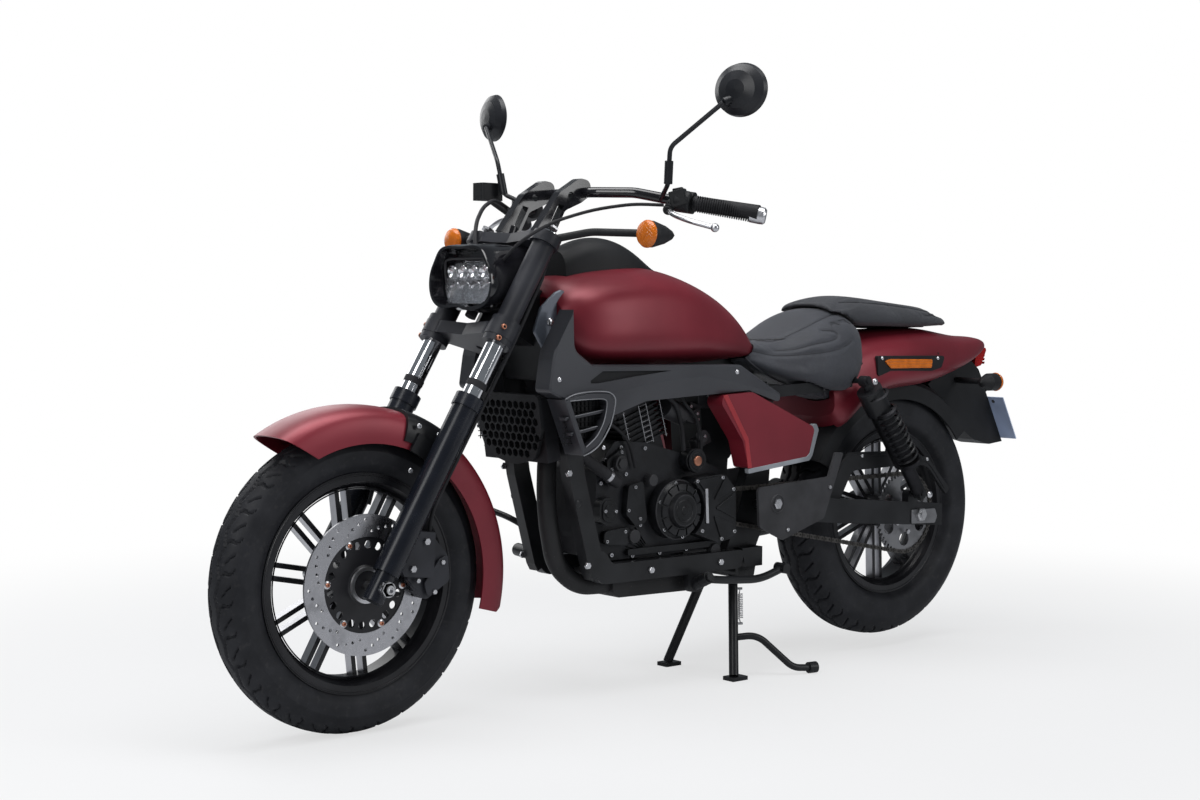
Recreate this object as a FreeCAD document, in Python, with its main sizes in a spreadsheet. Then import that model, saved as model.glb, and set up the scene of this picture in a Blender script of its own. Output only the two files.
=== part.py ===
import FreeCAD, Part
import Sketcher
import math
import os
from FreeCAD import Placement, Rotation, Vector

doc = FreeCAD.newDocument("CruiserMotorcycle")

# Driving sizes, in millimetres and degrees
SIZES = {
    # Wheels and how they stand
    "swing_reach": 503,
    "front_tyre_radius": 302,
    "front_tyre_width": 108,
    "front_rim_radius": 212,
    "front_rim_width": 88,
    "rear_tyre_radius": 311,
    "rear_tyre_width": 144,
    "rear_rim_radius": 198,
    "rear_rim_width": 100,
    "rim_wall": 14,
    "spoke_pairs": 10,
    "spoke_width": 10,
    "spoke_spacing": 26,
    "spoke_depth": 22,
    "hub_radius": 42,
    "axle_radius": 9,
    "axle_bore": 11,
    "axle_clearance": 0.3,
    "stand_lift": 32,
    # Front fork and steering
    "rake": 31,
    "fork_setback": 40,
    "fork_spacing": 220,
    "stanchion_radius": 20.5,
    "slider_radius": 27,
    "slider_top": 425,
    "lower_yoke_at": 548,
    "lower_yoke_height": 56,
    "upper_yoke_at": 786,
    "upper_yoke_height": 24,
    "stem_radius": 15,
    "head_tube_radius": 27,
    "bearing_gap": 1,
    "stem_clearance": 0.5,
    "disc_radius": 140,
    "disc_thickness": 5,
    "disc_offset": 58,
    "disc_inner_radius": 95,
    "disc_bolts": 6,
    "fender_gap": 51,
    "mudguard_gap": 24,
    "fender_wall": 3.5,
    "fender_half_width": 76,
    # Handlebar
    "riser_spacing": 122,
    "riser_width": 22,
    "bar_radius": 11.1,
    "grip_radius": 16,
    "grip_length": 122,
    "hose_radius": 4.5,
    "cable_radius": 3.5,
    # Frame and engine
    "rail_inner": 80,
    "rail_width": 30,
    "rail_depth": 42,
    "spine_half_width": 30,
    "subframe_inner": 96,
    "subframe_width": 22,
    "engine_half_width": 80,
    "cylinder_half_width": 62,
    "cylinder_lean": 20,
    "fin_count": 7,
    "cover_radius": 66,
    "cover_depth": 52,
    "pipe_radius": 21,
    "radiator_half_width": 108,
    "mesh_pitch": 20,
    "mesh_bar": 4,
    "shroud_outer": 160,
    "side_cover_outer": 158,
    # Rear end
    "pivot_height": 397,
    "pivot_at": 503,
    "arm_inner": 122,
    "arm_width": 26,
    "arm_height": 58,
    "sprocket_teeth": 48,
    "chain_pitch": 12.7,
    "chain_plane": 99,
    "chain_width": 14,
    "sprocket_thickness": 6,
    "front_sprocket_radius": 34,
    "shock_plane": 168,
    "shock_radius": 31,
    "shock_rod_radius": 17,
    "plate_width": 190,
    "plate_height": 124,
    "plate_lean": 28,
    "tail_reach": 452,
    # Stands
    "stand_pivot_at": 535,
    "stand_pivot_height": 238,
    "stand_tube_radius": 11,
    "stand_foot_track": 224,
    "stand_foot_ahead": 60,
    "side_stand_pivot_at": 712,
    "side_stand_length": 245,
}

sheet = doc.addObject("Spreadsheet::Sheet", "Sizes")
for row, (alias, value) in enumerate(SIZES.items(), 1):
    sheet.set(f"A{row}", alias)
    sheet.set(f"B{row}", str(value))
    sheet.setAlias(f"B{row}", alias)
doc.recompute()


def size(alias):
    return float(sheet.get(alias))


# Stations worked out from the sheet: the rear axle is at x = 0 and the floor at z = 0
# The chassis outlines count from a datum that lies this far behind the fork line's foot
FORK_RUN = 1560
FORK_FOOT = 302
SHIFT = (f"-({FORK_RUN} + 2 * (Sizes.swing_reach - Sizes.pivot_at) + Sizes.front_tyre_radius"
         " - Sizes.tail_reach) / 2")
REAR_AXLE_Z = size("rear_tyre_radius") + size("stand_lift")
FRONT_AXLE_Z = size("front_tyre_radius")
DATUM = size("swing_reach") - size("pivot_at")
RAKE = math.radians(size("rake"))
FORK_UP = Vector(-math.sin(RAKE), 0, math.cos(RAKE))
FORK_AHEAD = Vector(math.cos(RAKE), 0, math.sin(RAKE))
FORK_DATUM = Vector(DATUM + FORK_RUN, 0, FORK_FOOT)
AXLE_UP = (FRONT_AXLE_Z - FORK_FOOT) / math.cos(RAKE)
FRONT_AXLE = FORK_DATUM + FORK_UP * AXLE_UP
REAR_AXLE = Vector(0, 0, REAR_AXLE_Z)
LEG_Y = size("fork_spacing") / 2
RAIL_INNER = size("rail_inner")
RAIL_OUTER = RAIL_INNER + size("rail_width")
PLATE_LOW = RAIL_INNER - 24
ARM_INNER = size("arm_inner")
ARM_OUTER = ARM_INNER + size("arm_width")
PIVOT = Vector(DATUM + size("pivot_at"), 0, size("pivot_height"))
SIDE_HINGE = Vector(DATUM + size("side_stand_pivot_at"), RAIL_OUTER + 30, 246)
SIDE_AXIS = Vector(0, 0.91, 0.414).normalize()

SUBPARTS = []


def on_fork(up, ahead=0.0, side=0.0):
    """A point up the fork leg from its foot, ahead of the leg's line."""
    return FORK_DATUM + FORK_UP * up + FORK_AHEAD * ahead + Vector(0, side, 0)


def on_chassis(points):
    """Outline points whose first number is measured from the chassis datum."""
    return [(DATUM + p[0],) + tuple(p[1:]) for p in points]


def keep(thing, label, ahead="0"):
    """Names a finished sub-part and puts it in the part's own frame."""
    thing.Label = label
    thing.setExpression("Placement.Base.x", f"{ahead} + {SHIFT}")
    SUBPARTS.append(thing)
    return thing


def feature(label, shape):
    """A sub-part whose shape is worked out by Part's own functions."""
    thing = doc.addObject("Part::Feature", label)
    settled = shape.copy()
    settled.Placement = Placement()
    settled.transformShape(shape.Placement.toMatrix(), True)
    thing.Shape = settled
    return keep(thing, label)


def made_now(thing):
    """The shape of a sub-part in modelling coordinates."""
    shape = thing.Shape.copy()
    shape.Placement = Placement()
    return shape


def made(label):
    return made_now(next(item for item in SUBPARTS if item.Label == label))


def rounded(points):
    """Straight runs joined by tangent arcs: a point is (a, b) or (a, b, radius)."""
    corners = []
    count = len(points)
    for index, point in enumerate(points):
        here = Vector(point[0], point[1], 0)
        if len(point) < 3:
            corners.append((here, None, here))
            continue
        back = Vector(*points[index - 1][:2], 0) - here
        onward = Vector(*points[(index + 1) % count][:2], 0) - here
        shorter = min(back.Length, onward.Length)
        back.normalize()
        onward.normalize()
        half = back.getAngle(onward) / 2
        reach = min(point[2] / math.tan(half), 0.48 * shorter)
        radius = reach * math.tan(half)
        inward = back + onward
        inward.normalize()
        centre = here + inward * (radius / math.sin(half))
        corners.append((here + back * reach, centre - inward * radius, here + onward * reach))
    edges = []
    for index, (start, middle, end) in enumerate(corners):
        following = corners[(index + 1) % count][0]
        if middle is not None:
            edges.append(Part.Arc(start, middle, end))
        if (following - end).Length > 1e-6:
            edges.append(Part.LineSegment(end, following))
    return edges


def wire_of(points, place):
    """The rounded outline as a wire, its flat points carried to space by place."""
    wire = Part.Wire([curve.toShape() for curve in rounded(points)])
    return wire.transformed(place, copy=True)


def ribbon(points, width):
    """The two-sided outline of a bent line of the given width."""
    line = [Vector(p[0], p[1], 0) for p in points]
    left = []
    right = []
    for index, here in enumerate(line):
        runs = []
        if index > 0:
            runs.append((here - line[index - 1]).normalize())
        if index < len(line) - 1:
            runs.append((line[index + 1] - here).normalize())
        normals = [Vector(-run.y, run.x, 0) for run in runs]
        normal = sum(normals[1:], normals[0])
        normal.normalize()
        reach = width / 2 / normal.dot(normals[0])
        left.append(tuple(here + normal * reach)[:2])
        right.append(tuple(here - normal * reach)[:2])
    return left + right[::-1]


def side_prism(points, low, high):
    """A solid with the given side outline, from y = low to y = high."""
    flat = FreeCAD.Matrix(1, 0, 0, 0, 0, 0, -1, low, 0, 1, 0, 0, 0, 0, 0, 1)
    face = Part.Face(wire_of(points, flat))
    return face.extrude(Vector(0, high - low, 0))


def edged(points, low, high, edge):
    """A side plate whose outer rim is chamfered all round."""
    plate = side_prism(points, low, high)
    rim = [item for item in plate.Edges if all(abs(corner.Y - high) < 1e-6 for corner in item.Vertexes)]
    return plate.makeChamfer(edge, rim)


def rod(start, end, radius):
    run = end - start
    return Part.makeCylinder(radius, run.Length, start, run)


def turned(profile, centre, axis=Vector(0, 1, 0)):
    """A ring or shaft: (distance along the axis, radius) points turned about it."""
    axis = Vector(axis)
    axis.normalize()
    across = Vector(0, 0, 1) if abs(axis.z) < 0.5 else Vector(1, 0, 0)
    across = (across - axis * across.dot(axis)).normalize()
    places = [centre + axis * along + across * radius for along, radius in profile]
    face = Part.Face(Part.makePolygon(places + places[:1]))
    return face.revolve(centre, axis, 360)


def mirrored(shape):
    return shape.mirror(Vector(0, 0, 0), Vector(0, 1, 0))


def both_sides(shape):
    return Part.makeCompound([shape, mirrored(shape)])


def bent_path(points, radii=None):
    """A line through space of straight runs joined by tangent arcs."""
    edges = []
    last = points[0]
    for index in range(1, len(points) - 1):
        here = points[index]
        back = points[index - 1] - here
        onward = points[index + 1] - here
        half = back.getAngle(onward) / 2
        shorter = min(back.Length, onward.Length)
        back.normalize()
        onward.normalize()
        reach = 0.45 * shorter
        if radii:
            reach = min(reach, radii[index - 1] / math.tan(half))
        radius = reach * math.tan(half)
        inward = back + onward
        inward.normalize()
        centre = here + inward * (radius / math.sin(half))
        start = here + back * reach
        end = here + onward * reach
        edges.append(Part.LineSegment(last, start).toShape())
        edges.append(Part.Arc(start, centre - inward * radius, end).toShape())
        last = end
    edges.append(Part.LineSegment(last, points[-1]).toShape())
    return Part.Wire(edges)


def tube(points, radius, radii=None):
    """A round bar or hose along a bent path."""
    path = bent_path(points, radii)
    run = points[1] - points[0]
    ring = Part.Wire(Part.makeCircle(radius, points[0], run))
    solid = path.makePipeShell([ring], True, False)
    return solid


def loft(sections):
    """A smooth body through closed cross-sections at stations along x."""
    wires = []
    for station, points in sections:
        half = [Vector(station, y, z) for y, z in points]
        other = [Vector(station, -y, z) for y, z in points[::-1] if abs(y) > 1e-6]
        curve = Part.BSplineCurve()
        curve.interpolate(half + other, PeriodicFlag=True)
        wires.append(Part.Wire(curve.toShape()))
    return Part.makeLoft(wires, True, False)


def crowned(half_width, low, high, waist=0.45, top=0.55, bottom=0.7):
    """Half of a body's cross-section: flat below, widest at its waist, crowned above."""
    tall = high - low
    return [
        (0, low),
        (half_width * bottom, low),
        (half_width * 0.97, low + tall * 0.14),
        (half_width, low + tall * waist),
        (half_width * 0.9, low + tall * 0.75),
        (half_width * top, low + tall * 0.94),
        (0, high),
    ]


def padded_plate(label, points, low, high):
    """A body padded sideways from a sketched side outline; low and high are sheet formulas."""
    body = doc.addObject("PartDesign::Body", label)
    sketch = body.newObject("Sketcher::SketchObject", label + "_outline")
    planes = {item.Role: item for item in body.Origin.OriginFeatures}
    sketch.AttachmentSupport = (planes["XZ_Plane"], [""])
    sketch.MapMode = "FlatFace"
    sketch.setExpression("AttachmentOffset.Base.z", f"-({low})")
    for curve in rounded(points):
        sketch.addGeometry(curve, False)
    pad = body.newObject("PartDesign::Pad", label + "_pad")
    pad.Profile = sketch
    pad.Reversed = True
    pad.setExpression("Length", f"({high}) - ({low})")
    doc.recompute()
    return body


def pair(label, body):
    """The left piece and its mirror image on the right, as one sub-part."""
    other = doc.addObject("Part::Mirroring", label + "_right")
    other.Source = body
    other.Normal = (0, 1, 0)
    both = doc.addObject("Part::Compound", label)
    both.Links = [body, other]
    doc.recompute()
    return keep(both, label)


def turned_body(label, profile, centre):
    """A ring about a wheel's axle: a sketched half-section revolved about it."""
    body = doc.addObject("PartDesign::Body", label)
    sketch = body.newObject("Sketcher::SketchObject", label + "_section")
    planes = {item.Role: item for item in body.Origin.OriginFeatures}
    sketch.AttachmentSupport = (planes["XY_Plane"], [""])
    sketch.MapMode = "FlatFace"
    sketch.AttachmentOffset = Placement(centre, Rotation())
    for curve in rounded([(point[1], point[0]) + tuple(point[2:]) for point in profile]):
        sketch.addGeometry(curve, False)
    ring = body.newObject("PartDesign::Revolution", label + "_turn")
    ring.Profile = sketch
    ring.ReferenceAxis = (sketch, ["V_Axis"])
    ring.Angle = 360
    doc.recompute()
    return body


# Wheels: tyre, rim with paired spokes, hub
def tyre_profile(radius, width, rim_radius, rim_width):
    """Half-section of a tyre, beads on the rim's seats, tread crowned."""
    bead = rim_width / 2 - 7.3
    inner = rim_radius + 0.3
    return [
        (-bead, inner),
        (-bead, inner + 9),
        (-width * 0.47, inner + 26, 16),
        (-width * 0.5, radius - (radius - rim_radius) * 0.45, 24),
        (-width * 0.40, radius - 18, 16),
        (-width * 0.17, radius, 60),
        (width * 0.17, radius, 60),
        (width * 0.40, radius - 18, 16),
        (width * 0.5, radius - (radius - rim_radius) * 0.45, 24),
        (width * 0.47, inner + 26, 16),
        (bead, inner + 9),
        (bead, inner),
        (bead - 14, inner),
        (bead - 14, radius - 26, 20),
        (14 - bead, radius - 26, 20),
        (14 - bead, inner),
    ]


def wheel(prefix, centre, hub_half, first_spoke):
    radius = size(prefix + "_tyre_radius")
    rim_radius = size(prefix + "_rim_radius")
    rim_width = size(prefix + "_rim_width")
    wall = size("rim_wall")
    half = rim_width / 2
    tyre = turned_body(
        prefix + "_tyre",
        tyre_profile(radius, size(prefix + "_tyre_width"), rim_radius, rim_width),
        centre,
    )
    keep(tyre, prefix + "_tyre")
    rim = turned(
        [
            (-half, rim_radius + 8),
            (-half + 5, rim_radius + 8),
            (-half + 7, rim_radius),
            (half - 7, rim_radius),
            (half - 5, rim_radius + 8),
            (half, rim_radius + 8),
            (half, rim_radius - wall + 4),
            (half - 10, rim_radius - wall),
            (half - 26, rim_radius - wall - 10),
            (26 - half, rim_radius - wall - 10),
            (10 - half, rim_radius - wall),
            (-half, rim_radius - wall + 4),
        ],
        centre,
    )
    bore = size("axle_radius") + size("axle_clearance")
    hub_radius = size("hub_radius")
    hub = turned(
        [
            (-hub_half, bore),
            (-hub_half, hub_radius - 12),
            (-hub_half + 14, hub_radius),
            (hub_half - 14, hub_radius),
            (hub_half, hub_radius - 12),
            (hub_half, bore),
        ],
        centre,
    )
    depth = size("spoke_depth")
    wide = size("spoke_width")
    spacing = size("spoke_spacing")
    reach = rim_radius - wall - 6
    parts = [hub]
    pairs = int(size("spoke_pairs"))
    for index in range(pairs):
        turn = 360 * index / pairs - first_spoke
        for side in (-1, 1):
            start = Vector(hub_radius - 8, -depth / 2, side * spacing / 2 - wide / 2)
            bar = Part.makeBox(reach - hub_radius + 8, depth, wide, start)
            bar.translate(centre)
            bar.rotate(centre, Vector(0, 1, 0), turn)
            parts.append(bar)
    rim = rim.multiFuse(parts).removeSplitter()
    feature(prefix + "_rim", rim)


# Sprocket teeth stand on the pitch circle of the chain
TEETH = int(size("sprocket_teeth"))
PITCH_RADIUS = size("chain_pitch") / 2 / math.sin(math.pi / TEETH)
ROOT_RADIUS = PITCH_RADIUS - 4.2
TIP_RADIUS = PITCH_RADIUS + 3.6


def sprocket_disc(centre, low, high):
    points = []
    for tooth in range(TEETH):
        for share, radius in ((-0.32, ROOT_RADIUS), (-0.12, TIP_RADIUS), (0.12, TIP_RADIUS),
                              (0.32, ROOT_RADIUS)):
            angle = 2 * math.pi * (tooth + 0.5 + share) / TEETH
            points.append((centre.x + radius * math.cos(angle), centre.z + radius * math.sin(angle)))
    disc = side_prism(points, low, high)
    bore = rod(Vector(centre.x, low, centre.z), Vector(centre.x, high, centre.z),
               size("hub_radius") - 12)
    cuts = [bore]
    for index in range(6):
        angle = 2 * math.pi * (index + 0.5) / 6
        hole = rod(Vector(0, low, 0), Vector(0, high, 0), 17)
        hole.translate(Vector(centre.x + 66 * math.cos(angle), 0, centre.z + 66 * math.sin(angle)))
        cuts.append(hole)
    return disc.cut(Part.makeCompound(cuts))


def rear_wheel():
    wheel("rear", REAR_AXLE, 78, 16)
    low = size("chain_plane") - size("sprocket_thickness") / 2
    carrier = turned(
        [(78, size("axle_radius") + 0.3), (78, 60), (low, 52), (low, 30),
         (low + 16, 28), (low + 16, size("axle_radius") + 0.3)],
        REAR_AXLE,
    )
    disc = sprocket_disc(REAR_AXLE, low, low + size("sprocket_thickness"))
    feature("rear_sprocket", disc.fuse(carrier).removeSplitter())


def front_wheel():
    wheel("front", FRONT_AXLE, 55, 11.5)
    low = size("disc_offset")
    thick = size("disc_thickness")
    outer = size("disc_radius")
    inner = size("disc_inner_radius")
    ring = turned([(low, inner), (low, outer), (low + thick, outer), (low + thick, inner)], FRONT_AXLE)

    def across(radius, degrees, hole_radius):
        angle = math.radians(degrees)
        spot = FRONT_AXLE + Vector(radius * math.cos(angle), low - 4, radius * math.sin(angle))
        return Part.makeCylinder(hole_radius, thick + 8, spot, Vector(0, 1, 0))

    drilled = []
    for group in range(12):
        for row in range(4):
            drilled.append(across(outer - 11 - 7 * row, 30 * group - 7.5 * row, 3.4))
    ring = ring.cut(Part.makeCompound(drilled))
    seat = inner + 6
    carrier = turned([(55, size("axle_radius") + 0.3), (55, 40), (low - 2, 62), (low - 2, seat), (low, seat),
                      (low, inner), (low + 3, inner), (low + 3, 40), (low + 10, 30),
                      (low + 10, size("axle_radius") + 0.3)], FRONT_AXLE)
    windows = []
    bolts = int(size("disc_bolts"))
    for bolt in range(bolts):
        for step in (-1, 0, 1):
            windows.append(across(inner - 15, 5 + 360 * (bolt + 0.5) / bolts + 18 * step, 8))
    carrier = carrier.cut(Part.makeCompound(windows))
    feature("front_disc", ring.fuse(carrier))


# Steering: yokes and stem, fork legs, axle
def steering():
    setback = size("fork_setback")
    axis_x = -setback
    lower = size("lower_yoke_at")
    lower_top = lower + size("lower_yoke_height")
    upper = size("upper_yoke_at")
    upper_top = upper + size("upper_yoke_height")
    tube_r = size("stanchion_radius")

    def yoke(low, high, boss):
        plan = [(-setback - 30, 26, 12), (-18, LEG_Y, 20), (18, LEG_Y + 6, 16), (24, LEG_Y - 30, 20),
                (14, 0), (24, 30 - LEG_Y, 20), (18, -LEG_Y - 6, 16), (-18, -LEG_Y, 20),
                (-setback - 30, -26, 12)]
        centre = on_fork(low)
        place = FreeCAD.Matrix(FORK_AHEAD.x, 0, FORK_UP.x, centre.x,
                               0, 1, 0, centre.y,
                               FORK_AHEAD.z, 0, FORK_UP.z, centre.z,
                               0, 0, 0, 1)
        body = Part.Face(wire_of(plan, place)).extrude(FORK_UP * (high - low))
        for side in (-1, 1):
            body = body.fuse(rod(on_fork(low, 0, side * LEG_Y), on_fork(high, 0, side * LEG_Y), boss))
        for side in (-1, 1):
            body = body.cut(rod(on_fork(low - 1, 0, side * LEG_Y),
                                on_fork(high + 1, 0, side * LEG_Y), tube_r))
        return body

    low_plate = yoke(lower + 14, lower_top - 14, 32)
    clamps = []
    for side in (-1, 1):
        ring = rod(on_fork(lower, 0, side * LEG_Y), on_fork(lower_top, 0, side * LEG_Y), 31)
        clamps.append(ring.cut(rod(on_fork(lower - 1, 0, side * LEG_Y),
                                   on_fork(lower_top + 1, 0, side * LEG_Y), tube_r)))
    high_plate = yoke(upper, upper_top, 31)
    stem = rod(on_fork(lower + 14, axis_x), on_fork(upper_top + 8, axis_x), size("stem_radius"))
    socket = rod(on_fork(lower, axis_x), on_fork(lower + 60, axis_x), 8)
    feature("fork_yokes", low_plate.multiFuse(clamps + [high_plate, stem]).cut(socket).removeSplitter())

    top = size("slider_top")
    tubes = []
    sliders = []
    for side in (-1, 1):
        y = side * LEG_Y
        tubes.append(rod(on_fork(top, 0, y), on_fork(upper_top + 6, 0, y), tube_r))
        slider = rod(on_fork(AXLE_UP + 30, 0, y), on_fork(top, 0, y), size("slider_radius"))
        lip = rod(on_fork(top - 26, 0, y), on_fork(top, 0, y), size("slider_radius") + 3)
        foot = rod(on_fork(AXLE_UP - 30, 0, y), on_fork(AXLE_UP + 34, 0, y), 21)
        bore = Part.makeCylinder(size("axle_radius"), 80, FRONT_AXLE + Vector(0, y - 40, 0), Vector(0, 1, 0))
        sliders.append(slider.multiFuse([lip, foot]).cut(bore).removeSplitter())
    feature("fork_tubes", Part.makeCompound(tubes))
    feature("fork_sliders", Part.makeCompound(sliders))
    covers = []
    for side in (-1, 1):
        y = side * LEG_Y
        outer = rod(on_fork(lower_top, 0, y), on_fork(upper, 0, y), tube_r + 4)
        covers.append(outer.cut(rod(on_fork(lower_top - 1, 0, y), on_fork(upper + 1, 0, y), tube_r)))
    feature("fork_covers", Part.makeCompound(covers))
    end = LEG_Y + 42
    axle = Part.makeCylinder(size("axle_radius"), 2 * end, FRONT_AXLE - Vector(0, end, 0), Vector(0, 1, 0))
    nuts = []
    for low in (-end + 4, LEG_Y + 22):
        nuts.append(Part.makeCylinder(15, 14, FRONT_AXLE + Vector(0, low, 0), Vector(0, 1, 0)))
    hollow = Part.makeCylinder(size("axle_bore") / 2, 2 * end, FRONT_AXLE - Vector(0, end, 0), Vector(0, 1, 0))
    feature("front_axle", axle.multiFuse(nuts).cut(hollow))


def smooth_band(outer, inner):
    """A thin section between two smooth lines, each a list of (y, radius)."""
    edges = []
    ends = []
    for line in (outer, inner):
        places = [FRONT_AXLE + Vector(r, y, 0) for y, r in line]
        curve = Part.BSplineCurve()
        curve.interpolate(places)
        edges.append(curve.toShape())
        ends.append((places[0], places[-1]))
    for first, second in zip(ends[0], ends[1]):
        edges.append(Part.makeLine(first, second))
    return Part.Face(Part.Wire(Part.__sortEdges__(edges)))


def arch_section(half, radius, drop, wall):
    """Crown, shoulder and skirt of an arch over the tyre, as outer and inner lines."""
    def line(inset):
        flank = half - inset
        side = [(flank, radius - drop), (flank - 1, radius - 40), (flank * 0.86, radius - 15 - inset),
                (flank * 0.5, radius - 3 - inset)]
        return side + [(0, radius - inset)] + [(-y, r) for y, r in side[::-1]]

    return smooth_band(line(0), line(wall))


def beyond(near, far, towards):
    """Everything on one side of a plane across the wheel through two (x, z) points."""
    run = Vector(far[0] - near[0], 0, far[1] - near[1]).normalize()
    away = Vector(-run.z, 0, run.x) * towards
    start = FRONT_AXLE + Vector(near[0], -300, near[1])
    corners = [start - run * 500, start + run * 500, start + run * 500 + away * 500, start - run * 500 + away * 500]
    return Part.Face(Part.makePolygon(corners + corners[:1])).extrude(Vector(0, 600, 0))


def front_fender():
    radius = FRONT_AXLE_Z + size("fender_gap")
    half = size("fender_half_width")
    wall = size("fender_wall")
    section = arch_section(half, radius, 74, wall)
    section.rotate(FRONT_AXLE, Vector(0, 1, 0), -50)
    shell = section.revolve(FRONT_AXLE, Vector(0, -1, 0), 145)
    lip = beyond((radius * 0.535, radius * 0.845), (radius * 0.395, radius * 0.762), 1)
    tip = beyond((-radius * 0.98, -radius * 0.19), (-radius * 0.80, -radius * 0.29), -1)
    shell = shell.cut(lip).cut(tip)
    shell = sorted(shell.Solids, key=lambda item: item.Volume)[-1]
    feature("front_fender", shell)
    arch = arch_section(half + 5, radius + 6, 66, 7.5)
    arch.rotate(FRONT_AXLE, Vector(0, 1, 0), -106)
    arch = arch.revolve(FRONT_AXLE, Vector(0, -1, 0), 22)
    arms = []
    for side in (-1, 1):
        inner_y = (half + 2) * side
        outer_y = (LEG_Y - size("slider_radius") + 3) * side
        low_y, high_y = sorted((inner_y, outer_y))
        arm = Part.makeBox(60, high_y - low_y, 40, Vector(-30, low_y, -20))
        arm.rotate(Vector(0, 0, 0), Vector(0, 1, 0), -31)
        arm.translate(on_fork(AXLE_UP + 292, 26, 0))
        arms.append(arm)
    stay = arch.multiFuse(arms)
    for side in (-1, 1):
        stay = stay.cut(rod(on_fork(AXLE_UP + 30, 0, side * LEG_Y), on_fork(size("slider_top"), 0, side * LEG_Y),
                            size("slider_radius")))
    feature("fender_stay", stay.cut(shell))


def fork_room(set_back, tall=300):
    """The space the fork legs sweep at full lock, behind a plane across the fork."""
    room = Part.makeBox(300, 500, tall, Vector(set_back, -250, 0))
    room.rotate(Vector(0, 0, 0), Vector(0, 1, 0), -size("rake"))
    return room.translate(on_fork(size("lower_yoke_at")))


def brake_caliper():
    low = size("disc_offset")
    thick = size("disc_thickness")
    gap = 1.5
    body = side_prism([(1380, 300, 14), (1440, 262, 14), (1482, 310, 8), (1468, 372, 8), (1420, 392, 10),
                       (1384, 350, 12)], low - 22, low + thick + 30)
    slot = Part.makeCylinder(size("disc_radius") + 3, thick + 2 * gap,
                             FRONT_AXLE + Vector(0, low - gap, 0), Vector(0, 1, 0))
    carrier_room = Part.makeCylinder(size("disc_inner_radius") + 10, 30, FRONT_AXLE + Vector(0, low - 6, 0), Vector(0, 1, 0))
    to_axle = FRONT_AXLE - Vector(FORK_RUN, 0, FORK_FOOT)
    body = body.translate(to_axle).cut(slot).cut(carrier_room)
    lug = side_prism([(1430, 310), (1500, 318), (1522, 360), (1500, 410), (1425, 400)],
                     low + thick + 6, LEG_Y)
    lug = lug.translate(to_axle)
    body = body.fuse(lug).cut(made("fork_sliders"))
    feature("brake_caliper", body)


def headlight():
    def section(station, half, low, high, sharp):
        points = crowned(half, low, high, 0.62, sharp, 0.66)
        return (DATUM + station, points)

    outer = loft([
        section(1100, 52, 925, 968, 0.7),
        section(1160, 78, 890, 976, 0.7),
        section(1225, 83, 845, 978, 0.7),
        section(1262, 98, 842, 977, 0.72),
        section(1288, 103, 846, 973, 0.72),
    ])
    mouth = loft([
        section(1246, 84, 852, 962, 0.72),
        section(1290, 98, 853, 968, 0.72),
    ])
    stem = rod(on_fork(560, -40), on_fork(size("upper_yoke_at"), -40), 46)
    behind = Part.makeBox(200, 400, 500, Vector(-200, -200, -100))
    behind.rotate(Vector(0, 0, 0), Vector(0, 1, 0), -size("rake"))
    behind.translate(on_fork(560, -40))
    hood = outer.cut(mouth).cut(stem).cut(behind).cut(made("fork_yokes"))
    hood = sorted(hood.Solids, key=lambda item: item.Volume)[-1]
    feature("headlight_hood", hood)
    lens = loft([section(1246.3, 74, 856, 944, 0.7), section(1266, 76, 856, 938, 0.7)])
    feature("headlight_lens", lens)
    bracket = rod(on_fork(604, 14, 0), on_fork(650, 14, 0), 12)
    feature("headlight_bracket", bracket.cut(outer))


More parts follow.
